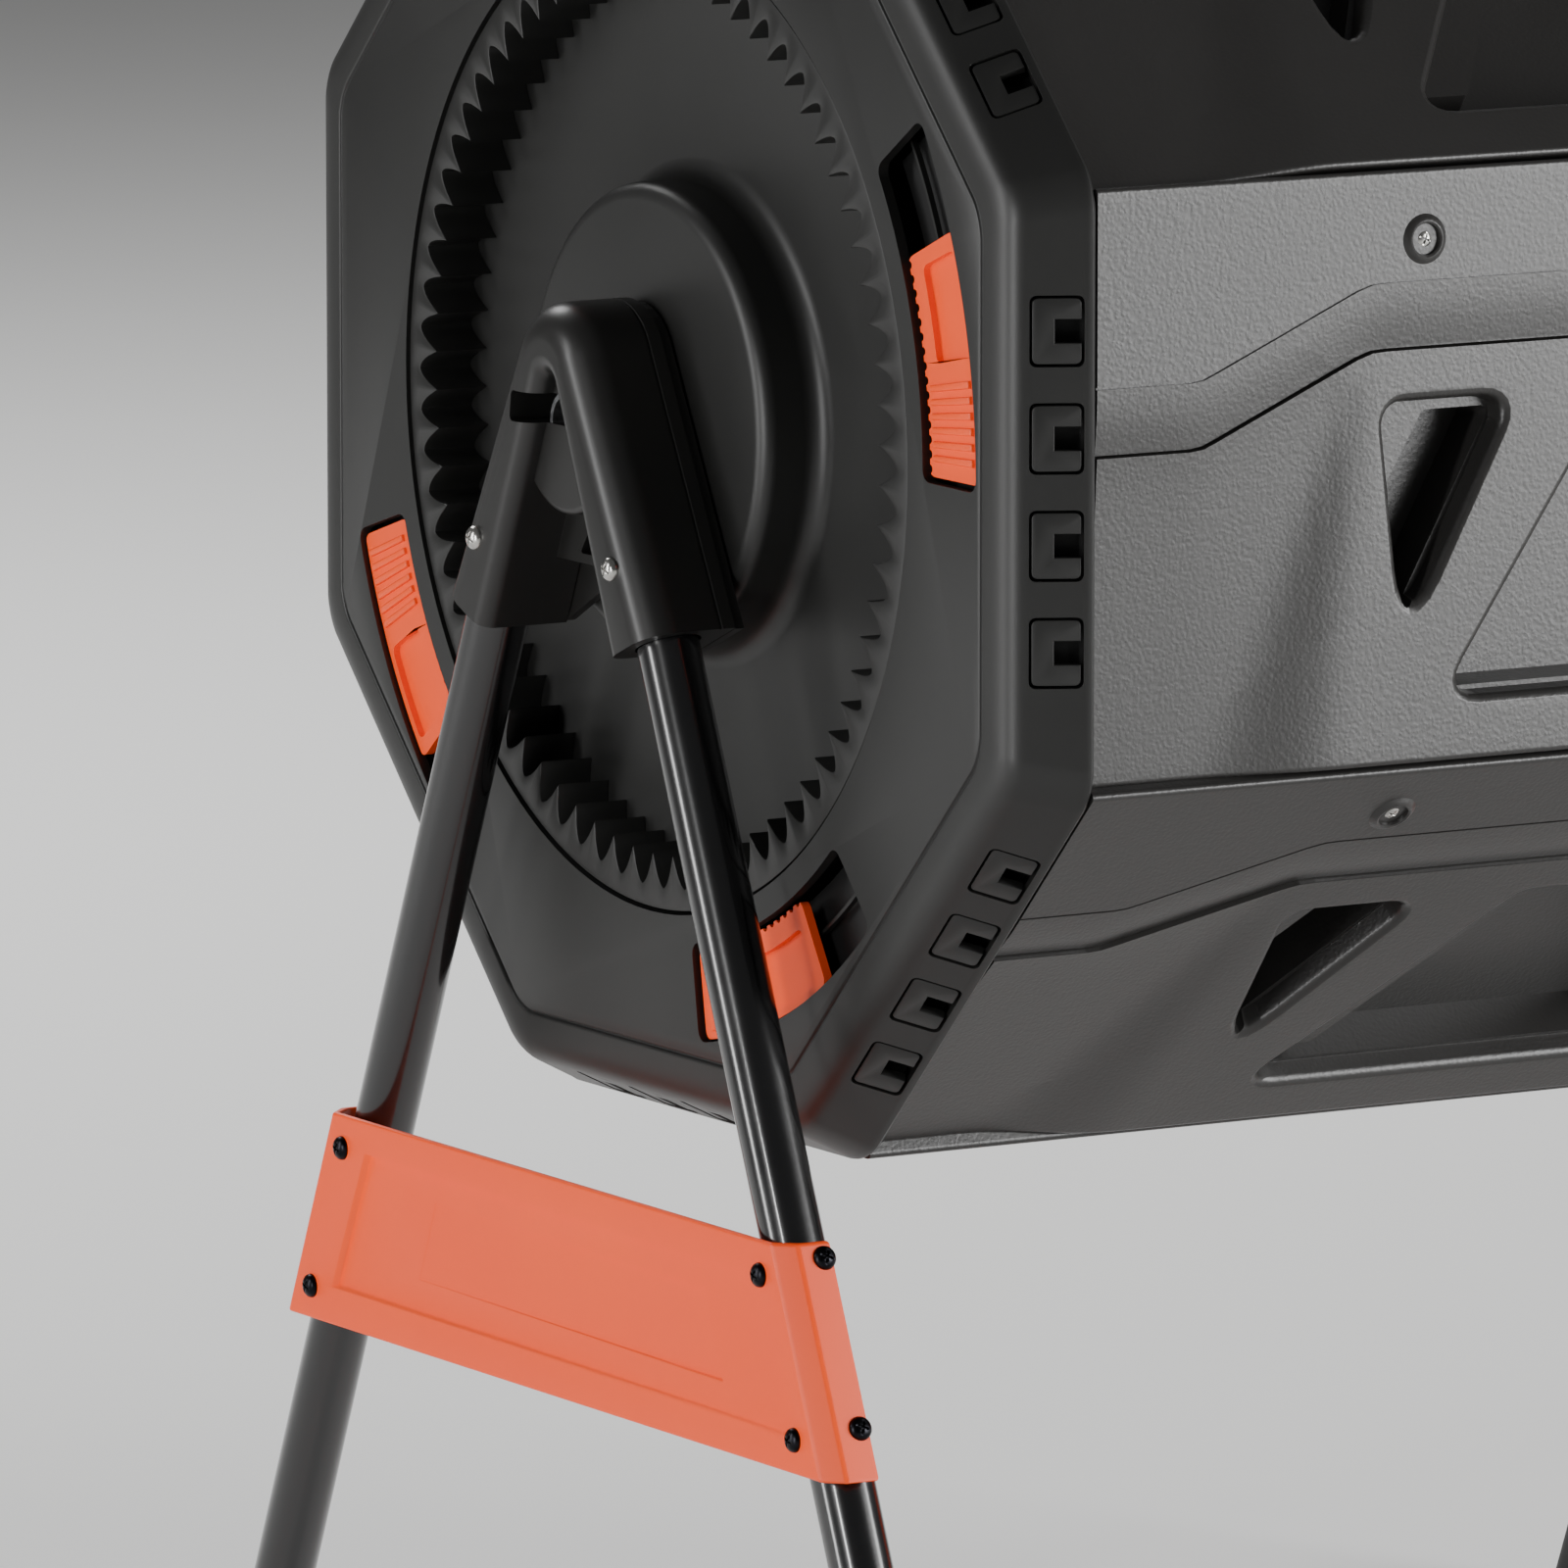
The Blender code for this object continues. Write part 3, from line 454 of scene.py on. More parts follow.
def window_places():
    """Matrices that put a drawing, with z outwards and y along the rim, on each window of the cap."""
    places = []
    lean = math.atan2(FACET_FOOT[1] - FACET_TOP[1], FACET_FOOT[0] - FACET_TOP[0])
    middle = (Vector(FACET_TOP) + Vector(FACET_FOOT)) / 2
    # Local x runs from the face to the seam down the facet, local z stands out of it.
    facet = Matrix(((math.sin(lean), 0, math.cos(lean), middle[1]), (0, 1, 0, 0),
                    (math.cos(lean), 0, -math.sin(lean), middle[0]), (0, 0, 0, 1)))
    for flat in range(8):
        for k in range(WINDOWS_PER_FLAT):
            along = (k - (WINDOWS_PER_FLAT - 1) / 2) * WINDOW_PITCH
            places.append(Matrix.Rotation(math.radians(45 * flat), 4, "Z") @ facet
                          @ Matrix.Translation((0, along, 0)))
    return places


def end_cap():
    """Moulded cover of the drum's end, with vent slots and clip windows."""
    cap = shown("cap_left", moved(cap_blank(), END))
    wall = WELL_RADIUS + 0.001
    well = moved(turned([(-0.05, 0), (-0.05, wall), (0.05, wall), (0.05, 0)], 192),
                 Matrix.Translation((-FACE, 0, AXIS_Z)))
    slots = []
    for slider in VENT_SLIDERS:
        a0, a1, r0, r1 = polar_span(slider)
        slot = sector(r0 + VENT_FLANGE - SLOT_CLEAR, r1 - VENT_FLANGE + SLOT_CLEAR / 2,
                      a0 - SLOT_OPEN - SLOT_CLEAR / r0, a1 + SLOT_CLEAR / r0, -0.01, 0.012, 28)
        slots.append(shown("cut", moved(rounded_ends(slot, 0.005), END)))
    window = rounded(rectangle(*WINDOW_HALF), 0.0028)
    holes = merged([moved(slab(window, -0.006, 0.004), END @ place) for place in window_places()])
    carved(cap, [shown("cut", well)])
    carved(cap, slots)
    carved(cap, [shown("cut", holes)])
    softened(cap, 0.0011, 3, 38)
    both_ends(cap, CAP_BLACK, "drum", ["end_cap_left"])


def cap_dish():
    """The well's wall and floor and the boss in the middle, one turned shape with soft edges."""
    front, floor, back = BOSS_FRONT, FACE - WELL_FLOOR, FACE - WELL_FLOOR + 0.004
    proud = front - FACE
    profile = [(0.0008, WELL_RADIUS + 0.0005), (back, WELL_RADIUS + 0.004), (back, BOSS_RADIUS - 0.006),
               (-proud + 0.004, BOSS_RADIUS - 0.006), (-proud + 0.004, 0.0205), (-proud, 0.0205)]
    profile += fillet((-proud + 0.007, BOSS_RADIUS - 0.007), 0.007, 180, 90, 8)
    profile += fillet((floor - 0.009, BOSS_RADIUS + 0.009), 0.009, 270, 360, 8)
    profile += fillet((floor - 0.002, WELL_RADIUS - 0.0025), 0.002, 0, 90, 4)
    bm = moved(turned(profile, 192), Matrix.Translation((-FACE, 0, AXIS_Z)))
    both_ends(shown("cap_dish_left", bm, 40), CAP_BLACK, "drum")


def clip_tabs():
    """Ends of the panels' snap clips, a notched tab in each window of the cap."""
    x, y = WINDOW_HALF[0] - TAB_GAP, WINDOW_HALF[1] - TAB_GAP
    notch_x, notch_y = -0.0008, 0.0046
    outline = [(-x, -y), (x, -y), (x, -notch_y), (notch_x, -notch_y), (notch_x, notch_y), (x, notch_y),
               (x, y), (-x, y)]
    tab = slab(outline, -0.0042, -0.0003)
    corners = [e for e in tab.edges if abs(e.verts[0].co.z - e.verts[1].co.z) > 1e-5
               and min(abs(abs(v.co.y) - y) for v in e.verts) < 1e-6]
    bmesh.ops.bevel(tab, geom=corners, offset=0.0022, affect="EDGES", segments=3, profile=0.5, material=-1)
    rims = [e for e in tab.edges if all(v.co.z > -0.001 for v in e.verts)]
    bmesh.ops.bevel(tab, geom=rims, offset=0.0005, affect="EDGES", segments=2, profile=0.5, material=-1)
    pattern = bpy.data.meshes.new("tab")
    tab.to_mesh(pattern)
    tab.free()
    whole = bmesh.new()
    for place in window_places():
        first = len(whole.verts)
        whole.from_mesh(pattern)
        whole.verts.ensure_lookup_table()
        bmesh.ops.transform(whole, verts=whole.verts[first:], matrix=END @ place)
    both_ends(shown("clip_tabs_left", whole), CAP_BLACK, "drum")
    # Very dark plates behind the windows: painted shade in the clip pockets.
    backing = rectangle(WINDOW_HALF[0] + 0.001, WINDOW_HALF[1] + 0.001)
    shade_sheets = [moved(slab(backing, -0.0125, -0.0112), END @ p) for p in window_places()]
    both_ends(shown("clip_pockets_left", merged(shade_sheets)), PAINTED_SHADE_BLACK, "drum")


def gear_ring():
    """Toothed ring in the well: pointed teeth with round gullets between them."""
    teeth, samples = 70, 12
    root, tip = 0.1912, 0.1772
    low, high = FACE + RING_LOW[0], FACE + RING_HIGH[0]
    count = teeth * samples
    inner, outer = [], []
    bm = bmesh.new()
    for i in range(count):
        share = abs((i % samples) / samples * 2 - 1)
        radius = root - (root - tip) * share ** 1.7
        angle = math.pi + 2 * math.pi * (i - samples / 2) / count
        inner.append(bm.verts.new((radius * math.cos(angle), radius * math.sin(angle), low)))
        outer.append(bm.verts.new((RING_OUTER * math.cos(angle), RING_OUTER * math.sin(angle), low)))
    rims = [bm.edges.new((a, b)) for loop in (inner, outer) for a, b in zip(loop, loop[1:] + loop[:1])]
    bmesh.ops.bridge_loops(bm, edges=rims)
    made = bmesh.ops.extrude_face_region(bm, geom=bm.faces[:])
    risen = [v for v in made["geom"] if isinstance(v, bmesh.types.BMVert)]
    bmesh.ops.translate(bm, verts=risen, vec=(0, 0, high - low))
    bmesh.ops.recalc_face_normals(bm, faces=bm.faces)
    edge = [e for e in bm.edges if all(v.co.z < low + 1e-6 for v in e.verts) and e.calc_face_angle(0) > 1]
    bmesh.ops.bevel(bm, geom=edge, offset=0.0005, affect="EDGES", segments=2, profile=0.5, material=-1)
    both_ends(shown("ring_left", moved(bm, END), 38), CAP_BLACK, "drum", ["gear_ring_left"])


def vents():
    """Orange shutters in the slots, with finger pulls and grip ridges, and the rails that they run on."""
    for number, name in enumerate(VENT_SLIDERS, 1):
        a0, a1, r0, r1 = polar_span(name)
        r0, r1 = r0 + VENT_FLANGE, r1 - VENT_FLANGE
        span = a1 - a0
        plate = sector(r0, r1, a0, a1, 0.0022, 0.0060, 36)
        shutter = shown("cut_base", moved(rounded_ends(plate, 0.004, 4), END))
        pull = sector(r0 + 0.0095, r1 - 0.0030, a0 + span * 0.07, a0 + span * 0.50, 0.0010, 0.0050, 12)
        scallops = []
        for k in range(15):
            angle = a0 + span * (k + 0.5) / 15
            at = Matrix.Translation((r0 * math.cos(angle), r0 * math.sin(angle), 0.001))
            disc = bmesh.new()
            bmesh.ops.create_cone(disc, cap_ends=True, segments=16,
                                  radius1=0.0017, radius2=0.0017, depth=0.012)
            scallops.append(moved(disc, END @ at))
        carved(shutter, [shown("cut", moved(rounded_ends(pull, 0.003, 3), END))])
        carved(shutter, [shown("cut", merged(scallops))])
        softened(shutter, 0.0006, 3, 40)
        ridges = []
        for k in range(6):
            angle = a1 - span * (0.085 + 0.062 * k)
            bar = sector(r0 + 0.0045, r1 - 0.003, angle - 0.0062, angle + 0.0062, 0.0006, 0.0026, 2)
            top = [e for e in bar.edges if all(v.co.z < 0.0007 for v in e.verts) and e.calc_face_angle(0) > 1]
            bmesh.ops.bevel(bar, geom=top, offset=0.0009, affect="EDGES",
                            segments=3, profile=0.5, material=-1)
            ridges.append(moved(bar, END))
        rail = sector(r0 + 0.0135, r0 + 0.0150, a0 - SLOT_OPEN - 0.02, a1, 0.0085, 0.0110, 40)
        # Very dark sheet behind each slot: painted shade of the drum's inside.
        wall = sector(r0 - 0.003, r1 + 0.003, a0 - SLOT_OPEN - 0.02, a1 + 0.02, 0.0130, 0.0140, 40)
        body = "vent_slider_left_%d" % number
        shutter.name = "vent_shutter_left_%d" % number
        both_ends(shutter, ORANGE, body, [name])
        both_ends(shown("vent_ridges_left_%d" % number, merged(ridges)), ORANGE, body)
        both_ends(shown("vent_rail_left_%d" % number, moved(rail, END)), CAP_BLACK, "drum")
        both_ends(shown("vent_screen_left_%d" % number, moved(wall, END)),
                  PAINTED_SHADE_BLACK, "drum")


# ---------------------------------------------------------------- side panels
def weighted(piece):
    """Shading that follows the large faces."""
    step = piece.modifiers.new("even_shading", "WEIGHTED_NORMAL")
    step.keep_sharp = True
    return baked(piece)


def spread(points, amount):
    """A closed outline moved outwards by an amount."""
    result = []
    turn = sum(a[0] * b[1] - a[1] * b[0] for a, b in zip(points, points[1:] + points[:1]))
    side = 1 if turn > 0 else -1
    for before, at, after in zip(points[-1:] + points[:-1], points, points[1:] + points[:1]):
        one = Vector((at[1] - before[1], before[0] - at[0])).normalized() * side
        two = Vector((after[1] - at[1], at[0] - after[0])).normalized() * side
        way = (one + two) / (1 + one.dot(two))
        result.append((at[0] + way.x * amount, at[1] + way.y * amount))
    return result


def pocket(corners, corner_radius, depth, draft, lip):
    """Cutter for a drafted pocket with a rounded lip, in a panel's drawing."""
    stations = [(-depth, -draft), (-lip, 0.0)]
    for i in range(1, 6):
        angle = math.radians(15 * i)
        stations.append((-lip * (1 - math.sin(angle)), lip * (1 - math.cos(angle))))
    z, out = stations[-1]
    stations.append((z + 0.0015, out + 0.0015 / math.tan(math.radians(18))))
    rings = []
    for z, out in stations:
        outline = rounded(spread(corners, out), max(0.002, corner_radius + out), 6)
        rings.append([(x, y, z) for x, y in outline])
    return stacked(rings)


PANEL_APOTHEM = -PANEL_LOW[1]
PANEL_HALF = PANEL_HIGH[0]
PANEL_DEPTH = 0.031
PANEL_WALL = 0.0035
PANEL_GAP = 0.0008
EDGE_ROUND = 0.0060
POCKET_FLOOR = 0.0275
WAVE = ((0.0, 0.013), (0.043, 0.013), (0.049, 0.0138), (0.055, 0.0162), (0.120, 0.0444), (0.127, 0.0466),
        (0.134, 0.047), (0.300, 0.047))
BAND = 0.027
BAND_FALL = 0.0020
GROOVE = 0.0010
FOLD_DEPTH = 0.0066
# Corners (x, y) of the pockets in the left half and of the shelf-like deep parts in them.
TRIANGLE = [(-0.1450, 0.0260), (-0.1340, -0.0690), (-0.0830, 0.0260)]
TRIANGLE_DEEP = [(-0.1420, -0.0130), (-0.1340, -0.0620), (-0.0870, 0.0220), (-0.1210, 0.0220)]
TRAPEZOID = [(-0.1150, -0.0925), (0.1150, -0.0925), (0.0340, 0.0260), (-0.0340, 0.0260)]
TRAPEZOID_DEEP = [(-0.1110, -0.0905), (0.1110, -0.0905), (0.1040, -0.0790), (0.0840, -0.0790),
                  (0.0240, 0.0160), (-0.0240, 0.0160), (-0.0840, -0.0790), (-0.1040, -0.0790)]
SCREW_AT = (0.126, 0.090)
# A panel's drawing has x along the axle, y up the flat and z outwards.
FLAT = Matrix(((1, 0, 0, 0), (0, 0, -1, -PANEL_APOTHEM), (0, 1, 0, AXIS_Z), (0, 0, 0, 1)))
FLATS = {"front": 0, "front_lower": 45, "bottom": 90, "rear_lower": 135, "rear": 180, "rear_upper": 225,
         "front_upper": 315}


def about_axle(degrees):
    turn = Matrix.Rotation(math.radians(degrees), 4, "X")
    return Matrix.Translation(AXIS) @ turn @ Matrix.Translation(-AXIS)


def smooth_step(low, high, value):
    share = min(1.0, max(0.0, (value - low) / (high - low)))
    return share * share * (3 - 2 * share)


def wave_height(x):
    """Height of the lower wave line across the flat."""
    along = max(0.0, PANEL_HALF - abs(x))
    for (s0, y0), (s1, y1) in zip(WAVE, WAVE[1:]):
        if s0 <= along <= s1:
            return y0 + (y1 - y0) * (along - s0) / (s1 - s0)
    return WAVE[-1][1]


def relief(x, y):
    """How far the moulded face sinks below the flat."""
    line = wave_height(x)
    if y >= line:
        fade = 0.4 + 0.6 * smooth_step(BAND * 0.6, 0, y - line)
        return -BAND_FALL * smooth_step(BAND, 0.0, y - line) * fade
    share = min(1.0, (line - y) / (line + PANEL_APOTHEM * TAN_HALF))
    middle, half = 0.120 - 0.042 * share, 0.005 + 0.029 * share
    return -FOLD_DEPTH * share ** 0.8 * smooth_step(middle + half, middle - half, PANEL_HALF - abs(x))


def mirrored(corners):
    return [(-x, y) for x, y in reversed(corners)]


def wave_cut(offset, depth):
    """Cutter for a groove along a wave line."""
    stops = sorted({round(PANEL_HALF - s, 6) for s, _ in WAVE if s < PANEL_HALF} | {PANEL_HALF + 0.002})
    xs = [-x for x in reversed(stops)] + stops
    top = [(x, wave_height(x) + offset + GROOVE / 2) for x in xs]
    low = [(x, wave_height(x) + offset - GROOVE / 2) for x in reversed(xs)]
    return shown("cut", slab(low + top, -depth, 0.004))


def panel_blank():
    """Panel's solid: rounded long edges, mitred sides."""
    half = PANEL_APOTHEM * TAN_HALF - PANEL_GAP
    back = half - PANEL_DEPTH * TAN_HALF
    section = [(-back, -PANEL_DEPTH), (back, -PANEL_DEPTH), (half, 0), (-half, 0)]
    bm = bmesh.new()
    bm.faces.new([bm.verts.new((-PANEL_HALF, y, z)) for y, z in section])
    edge = [v for v in bm.verts if v.co.z > -0.001]
    bmesh.ops.bevel(bm, geom=edge, offset=EDGE_ROUND * 0.55, affect="VERTICES",
                    segments=7, profile=0.5, material=-1)
    made = bmesh.ops.extrude_face_region(bm, geom=bm.faces[:])
    bmesh.ops.translate(bm, verts=[v for v in made["geom"] if isinstance(v, bmesh.types.BMVert)],
                        vec=(2 * PANEL_HALF, 0, 0))
    return shown("panel", bm)


def shaped(piece, pitch):
    """Divide the face finely and sink it by the moulded relief."""
    bm = bmesh.new()
    bm.from_mesh(piece.data)
    for axis, reach in ((Vector((1, 0, 0)), PANEL_HALF), (Vector((0, 1, 0)), 0.119)):
        count = int(2 * reach / pitch)
        for k in range(1, count):
            bmesh.ops.bisect_plane(bm, geom=bm.verts[:] + bm.edges[:] + bm.faces[:],
                                   plane_co=axis * (reach * (2 * k / count - 1)), plane_no=axis, dist=1e-6)
    for vert in bm.verts:
        vert.co.z += relief(vert.co.x, vert.co.y)
    bm.to_mesh(piece.data)
    bm.free()
    piece.data.shade_smooth()
    piece.data.set_sharp_from_angle(angle=math.radians(32))
    return piece


def panel_shell():
    """One side panel: a wall with its pocket cups, wave lines and folds."""
    piece = panel_blank()
    pockets = [(c, 0.0090) for c in (TRIANGLE, mirrored(TRIANGLE))] + [(TRAPEZOID, 0.0085)]
    deep = [TRIANGLE_DEEP, mirrored(TRIANGLE_DEEP), TRAPEZOID_DEEP]
    cups = [shown("cut", pocket(spread(c, PANEL_WALL), r + 0.003, POCKET_FLOOR + PANEL_WALL, 0.0, 0.001))
            for c, r in pockets]
    room = slab(rectangle(PANEL_HALF - PANEL_WALL, 0.100), -PANEL_DEPTH - 0.002, -0.009)
    hollow = carved(shown("cut", room), cups)
    carved(piece, [hollow])
    for corners, radius in pockets:
        carved(piece, [shown("cut", pocket(corners, radius, 0.0095, 0.0010, 0.0042))])
    for corners in deep:
        carved(piece, [shown("cut", pocket(corners, 0.0040, POCKET_FLOOR, 0.0025, 0.0008))])
    for offset, depth in ((0, 0.0026), (BAND, 0.0009)):
        carved(piece, [wave_cut(offset, depth)])
    return weighted(shaped(piece, 0.0085))


def side_panels():
    pattern = panel_shell()
    for name, degrees in FLATS.items():
        piece = bpy.data.objects.new("panel_" + name, pattern.data.copy())
        piece.data.transform(about_axle(degrees) @ FLAT)
        bpy.context.scene.collection.objects.link(piece)
        dressed(piece, PANEL_GREY, "drum", ["side_panel_" + name])
    bpy.data.objects.remove(pattern)


# ---------------------------------------------------------------- hub, legs and braces
LEG_ANGLE = math.radians(23.3)
LEG_APEX = 0.0755
LEG_PLANE = 0.031
TUBE_RADIUS = 0.0127
ARM_HALF = 0.0177
ARCH_RADIUS = 0.0065
CROWN_RADIUS = 0.030
HUB_TOP = 0.049
SOCKET_END = 0.082
LEG_DROP = 0.036
BRACE_SIDE = 0.022
OUTER_ROUND = 0.0150
INNER_ROUND = 0.0075
HUB_Z = FACE - HUB_FRONT      # hub's front in a drawing of the drum's end
HUB_REAR_Z = FACE - HUB_BACK
BUMP_Z = -0.0400
WEB_Z = -0.0210


def hub_ring(z, outer, inner, end=SOCKET_END):
    """Outline of the hub at a depth, with its outer and inner flanks drawn in."""
    sine, cosine = math.sin(LEG_ANGLE), math.cos(LEG_ANGLE)
    foot = (LEG_APEX + end) * math.tan(LEG_ANGLE)
    out, inn = ARM_HALF - outer, ARM_HALF - inner
    crown_z = HUB_TOP - CROWN_RADIUS
    arch_z = LEG_APEX - (ARM_HALF + ARCH_RADIUS) / sine
    crown_r, arch_r = CROWN_RADIUS - outer, ARCH_RADIUS + inner
    crown, arch = [], []
    for i in range(25):
        angle = LEG_ANGLE + (math.pi - 2 * LEG_ANGLE) * i / 24
        crown.append((crown_r * math.cos(angle), crown_z + crown_r * math.sin(angle), z))
    for i in range(17):
        angle = math.pi - LEG_ANGLE - (math.pi - 2 * LEG_ANGLE) * i / 16
        arch.append((arch_r * math.cos(angle), arch_z + arch_r * math.sin(angle), z))
    feet = [(foot + out * cosine, out * sine - end, z), (-foot - out * cosine, out * sine - end, z),
            (inn * cosine - foot, -inn * sine - end, z), (foot - inn * cosine, -inn * sine - end, z)]
    return [feet[0]] + crown + [feet[1], feet[2]] + arch + [feet[3]]


def drawn_in(radius, depth):
    """How far a quarter-round edge stands back at a depth."""
    if depth >= radius:
        return 0.0
    return radius - math.sqrt(radius ** 2 - (radius - depth) ** 2)


def leg_turned(side, profile, segments):
    """A (distance down the leg, radius) profile spun about a leg's axis; side is -1 towards -Y."""
    apex = Matrix.Translation((-FACE - LEG_PLANE, 0, AXIS_Z + LEG_APEX))
    lean = Matrix.Rotation(side * LEG_ANGLE, 4, "X") @ Matrix.Rotation(math.pi / 2, 4, "Y")
    return moved(turned(profile, segments), apex @ lean)


def hub():
    """Hub moulding: two round-fronted arms, a web and a round boss between them."""
    rings = []
    for depth in (0, 0.0007, 0.0018, 0.0034, 0.0055, 0.0075, 0.0105, 0.0150):
        rings.append(hub_ring(HUB_Z + depth, drawn_in(OUTER_ROUND, depth), drawn_in(INNER_ROUND, depth)))
    seam = ((-0.0165, 0), (-0.0161, 0.0009), (-0.0153, 0.0009), (-0.0149, 0), (HUB_REAR_Z - 0.0003, 0))
    for z, inset in seam:
        rings.append(hub_ring(z, inset, 0))
    piece = shown("hub_left", moved(stacked(rings), END))
    web = [(0.052, -0.0600), (0.026, 0.0300), (-0.026, 0.0300), (-0.052, -0.0600), (-0.020, -0.0600),
           (-0.020, -0.0760), (-0.006, -0.0760), (-0.006, -0.0600)]
    angles = (0.5, 1.0, math.pi / 2)
    edge = [(BUMP_Z + 0.0025 * (1 - math.cos(a)), 0.0345 + 0.0025 * math.sin(a)) for a in angles]
    bump = [(BUMP_Z, 0), (BUMP_Z, 0.0345), *edge, (-0.012, 0.037), (-0.012, 0)]
    carved(piece, [shown("cut", moved(slab(rounded(web, 0.004), WEB_Z, -0.0098), END))], "UNION")
    carved(piece, [shown("cut", moved(turned(bump, 72), Matrix.Translation((-FACE, 0, AXIS_Z))))], "UNION")
    cuts = [slab(rounded([(-0.005, -0.0010), (0.0265, -0.0010), (0.0265, 0.0115), (-0.005, 0.0115)], 0.0024),
                 -0.060, -0.0280),
            slab(rounded([(0.020, -0.0560), (0.006, -0.0560), (0.011, -0.0440)], 0.001), -0.040, 0.0),
            slab(rounded([(-0.004, -0.0450), (-0.0022, -0.0450),
                          (-0.0022, -0.0700), (-0.004, -0.0700)], 0.0004),
                 -0.040, -0.0120)]
    carved(piece, [shown("cut", moved(cut, END)) for cut in cuts])
    for side in (-1, 1):
        bore = TUBE_RADIUS + 0.0008
        top = (LEG_APEX + LEG_DROP) / math.cos(LEG_ANGLE)
        carved(piece, [shown("cut", leg_turned(side, [(top, 0), (top, bore), (0.22, bore), (0.22, 0)], 64))])
    softened(piece, 0.0007, 2, 42)
    both_ends(weighted(piece), HUB_BLACK, "stand", ["hub_housing_left"])


def refined(node, name, width, segments=3, angle=38):
    """A finer copy of a CAD piece, with soft edges."""
    bm = bmesh.new()
    bm.from_mesh(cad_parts[node].data)
    bmesh.ops.remove_doubles(bm, verts=bm.verts, dist=1e-6)
    bmesh.ops.dissolve_limit(bm, angle_limit=math.radians(0.8), verts=bm.verts, edges=bm.edges)
    return softened(shown(name, bm), width, segments, angle)


TUBE_BORE = 0.0108


def legs():
    """Round tubes with plain ends."""
    start = (LEG_APEX + LEG_DROP) / math.cos(LEG_ANGLE)
    end = (LEG_APEX + AXIS_Z - LEG_LOW[2] - TUBE_RADIUS * math.sin(LEG_ANGLE)) / math.cos(LEG_ANGLE)
    for side, name in ((-1, "front"), (1, "rear")):
        profile = [(start, TUBE_BORE), (start, TUBE_RADIUS), (end, TUBE_RADIUS), (end, TUBE_BORE)]
        both_ends(shown("tube_left_" + name, leg_turned(side, profile, 96)),
                  TUBE_BLACK, "stand", ["leg_tube_left_" + name])
        foot = "foot_cap_left_" + name
        both_ends(refined(foot, "shoe_left_" + name, 0.0025), FOOT_BLACK, "stand", [foot])


def wedge(outline, face, deep_x, deep, shallow_x, shallow, slope=0.0010):
    """Cutter for a pressed field whose floor runs from deep to shallow across x."""
    floor = spread(outline, -slope)

    def depth(x):
        return deep + (shallow - deep) * (x - deep_x) / (shallow_x - deep_x)

    return stacked([[(x, y, face - 0.004) for x, y in spread(outline, 0.0012)],
                    [(x, y, face - 0.0002) for x, y in outline],
                    [(x, y, face + depth(x)) for x, y in floor]])


# Outlines of the brace's fields, in the drawing of the drum's end.
BRACE_FIELD = [(0.1510, -0.3195), (0.1800, -0.3800), (-0.1985, -0.3815), (-0.1695, -0.3205)]
BRACE_INNER = [(0.0960, -0.3310), (0.1110, -0.3670), (-0.1400, -0.3688), (-0.1250, -0.3320)]


def braces():
    """Channel over the front of both legs, with a tapering field and a second field in it."""
    face = BRACE_LOW[0] + FACE
    piece = refined("brace_panel_left", "brace_left", 0.0016, 3, 25)
    carved(piece, [shown("cut", moved(wedge(BRACE_FIELD, face, 0.18, 0.0028, -0.19, 0.0012), END))])
    carved(piece, [shown("cut", moved(wedge(BRACE_INNER, face, -0.14, 0.0030, 0.10, 0.0026), END))])
    piece.data.set_sharp_from_angle(angle=math.radians(30))
    both_ends(weighted(piece), ORANGE, "stand", ["brace_panel_left"])


BOLT_RADIUS, BOLT_HEIGHT = 0.0050, 0.0034
SIDE_BOLT_HEIGHTS = (-0.312, -0.376)        # from the axle
SIDE_BOLT_INSET = 0.0042                    # from the rear edge of the brace


def dome(radius, height):
    """Dome-headed screw along +X, with its seat at x = 0 and a cross recess."""
    profile = [(0.0012, 0), (0.0012, radius)]
    angles = (0.0, 0.35, 0.7, 1.05, 1.35, math.pi / 2)
    profile += [(-height * math.sin(a) * 0.9, radius * math.cos(a)) for a in angles]
    head = shown("head", turned(profile, 40))
    cross = []
    for turn in (0.4, 0.4 + math.pi / 2):
        bar = cleared(bmesh.new(), (-2 * height, -radius * 0.5, -radius * 0.10),
                      (-height * 0.45, radius * 0.5, radius * 0.10))
        cross.append(moved(bar, Matrix.Rotation(turn, 4, "X")))
    for bar in cross:
        carved(head, [shown("cut", bar)])
    return head


def screws():
    """Screws of the hubs and braces, with their heads at their CAD places."""
    pattern = dome(BOLT_RADIUS, BOLT_HEIGHT)
    for name in [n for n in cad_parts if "_screw_left" in n]:
        low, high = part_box(name)
        seat = Vector((low[0] + 0.0030, (low[1] + high[1]) / 2, (low[2] + high[2]) / 2))
        piece = bpy.data.objects.new(name.replace("screw", "bolt"), pattern.data.copy())
        piece.data.transform(Matrix.Translation(seat))
        bpy.context.scene.collection.objects.link(piece)
        finish, slot_name = (BRIGHT, "bright_steel") if name.startswith("hub") else (BLACKENED, "black_steel")
        both_ends(piece, finish, "stand", [name])
    bpy.data.objects.remove(pattern)


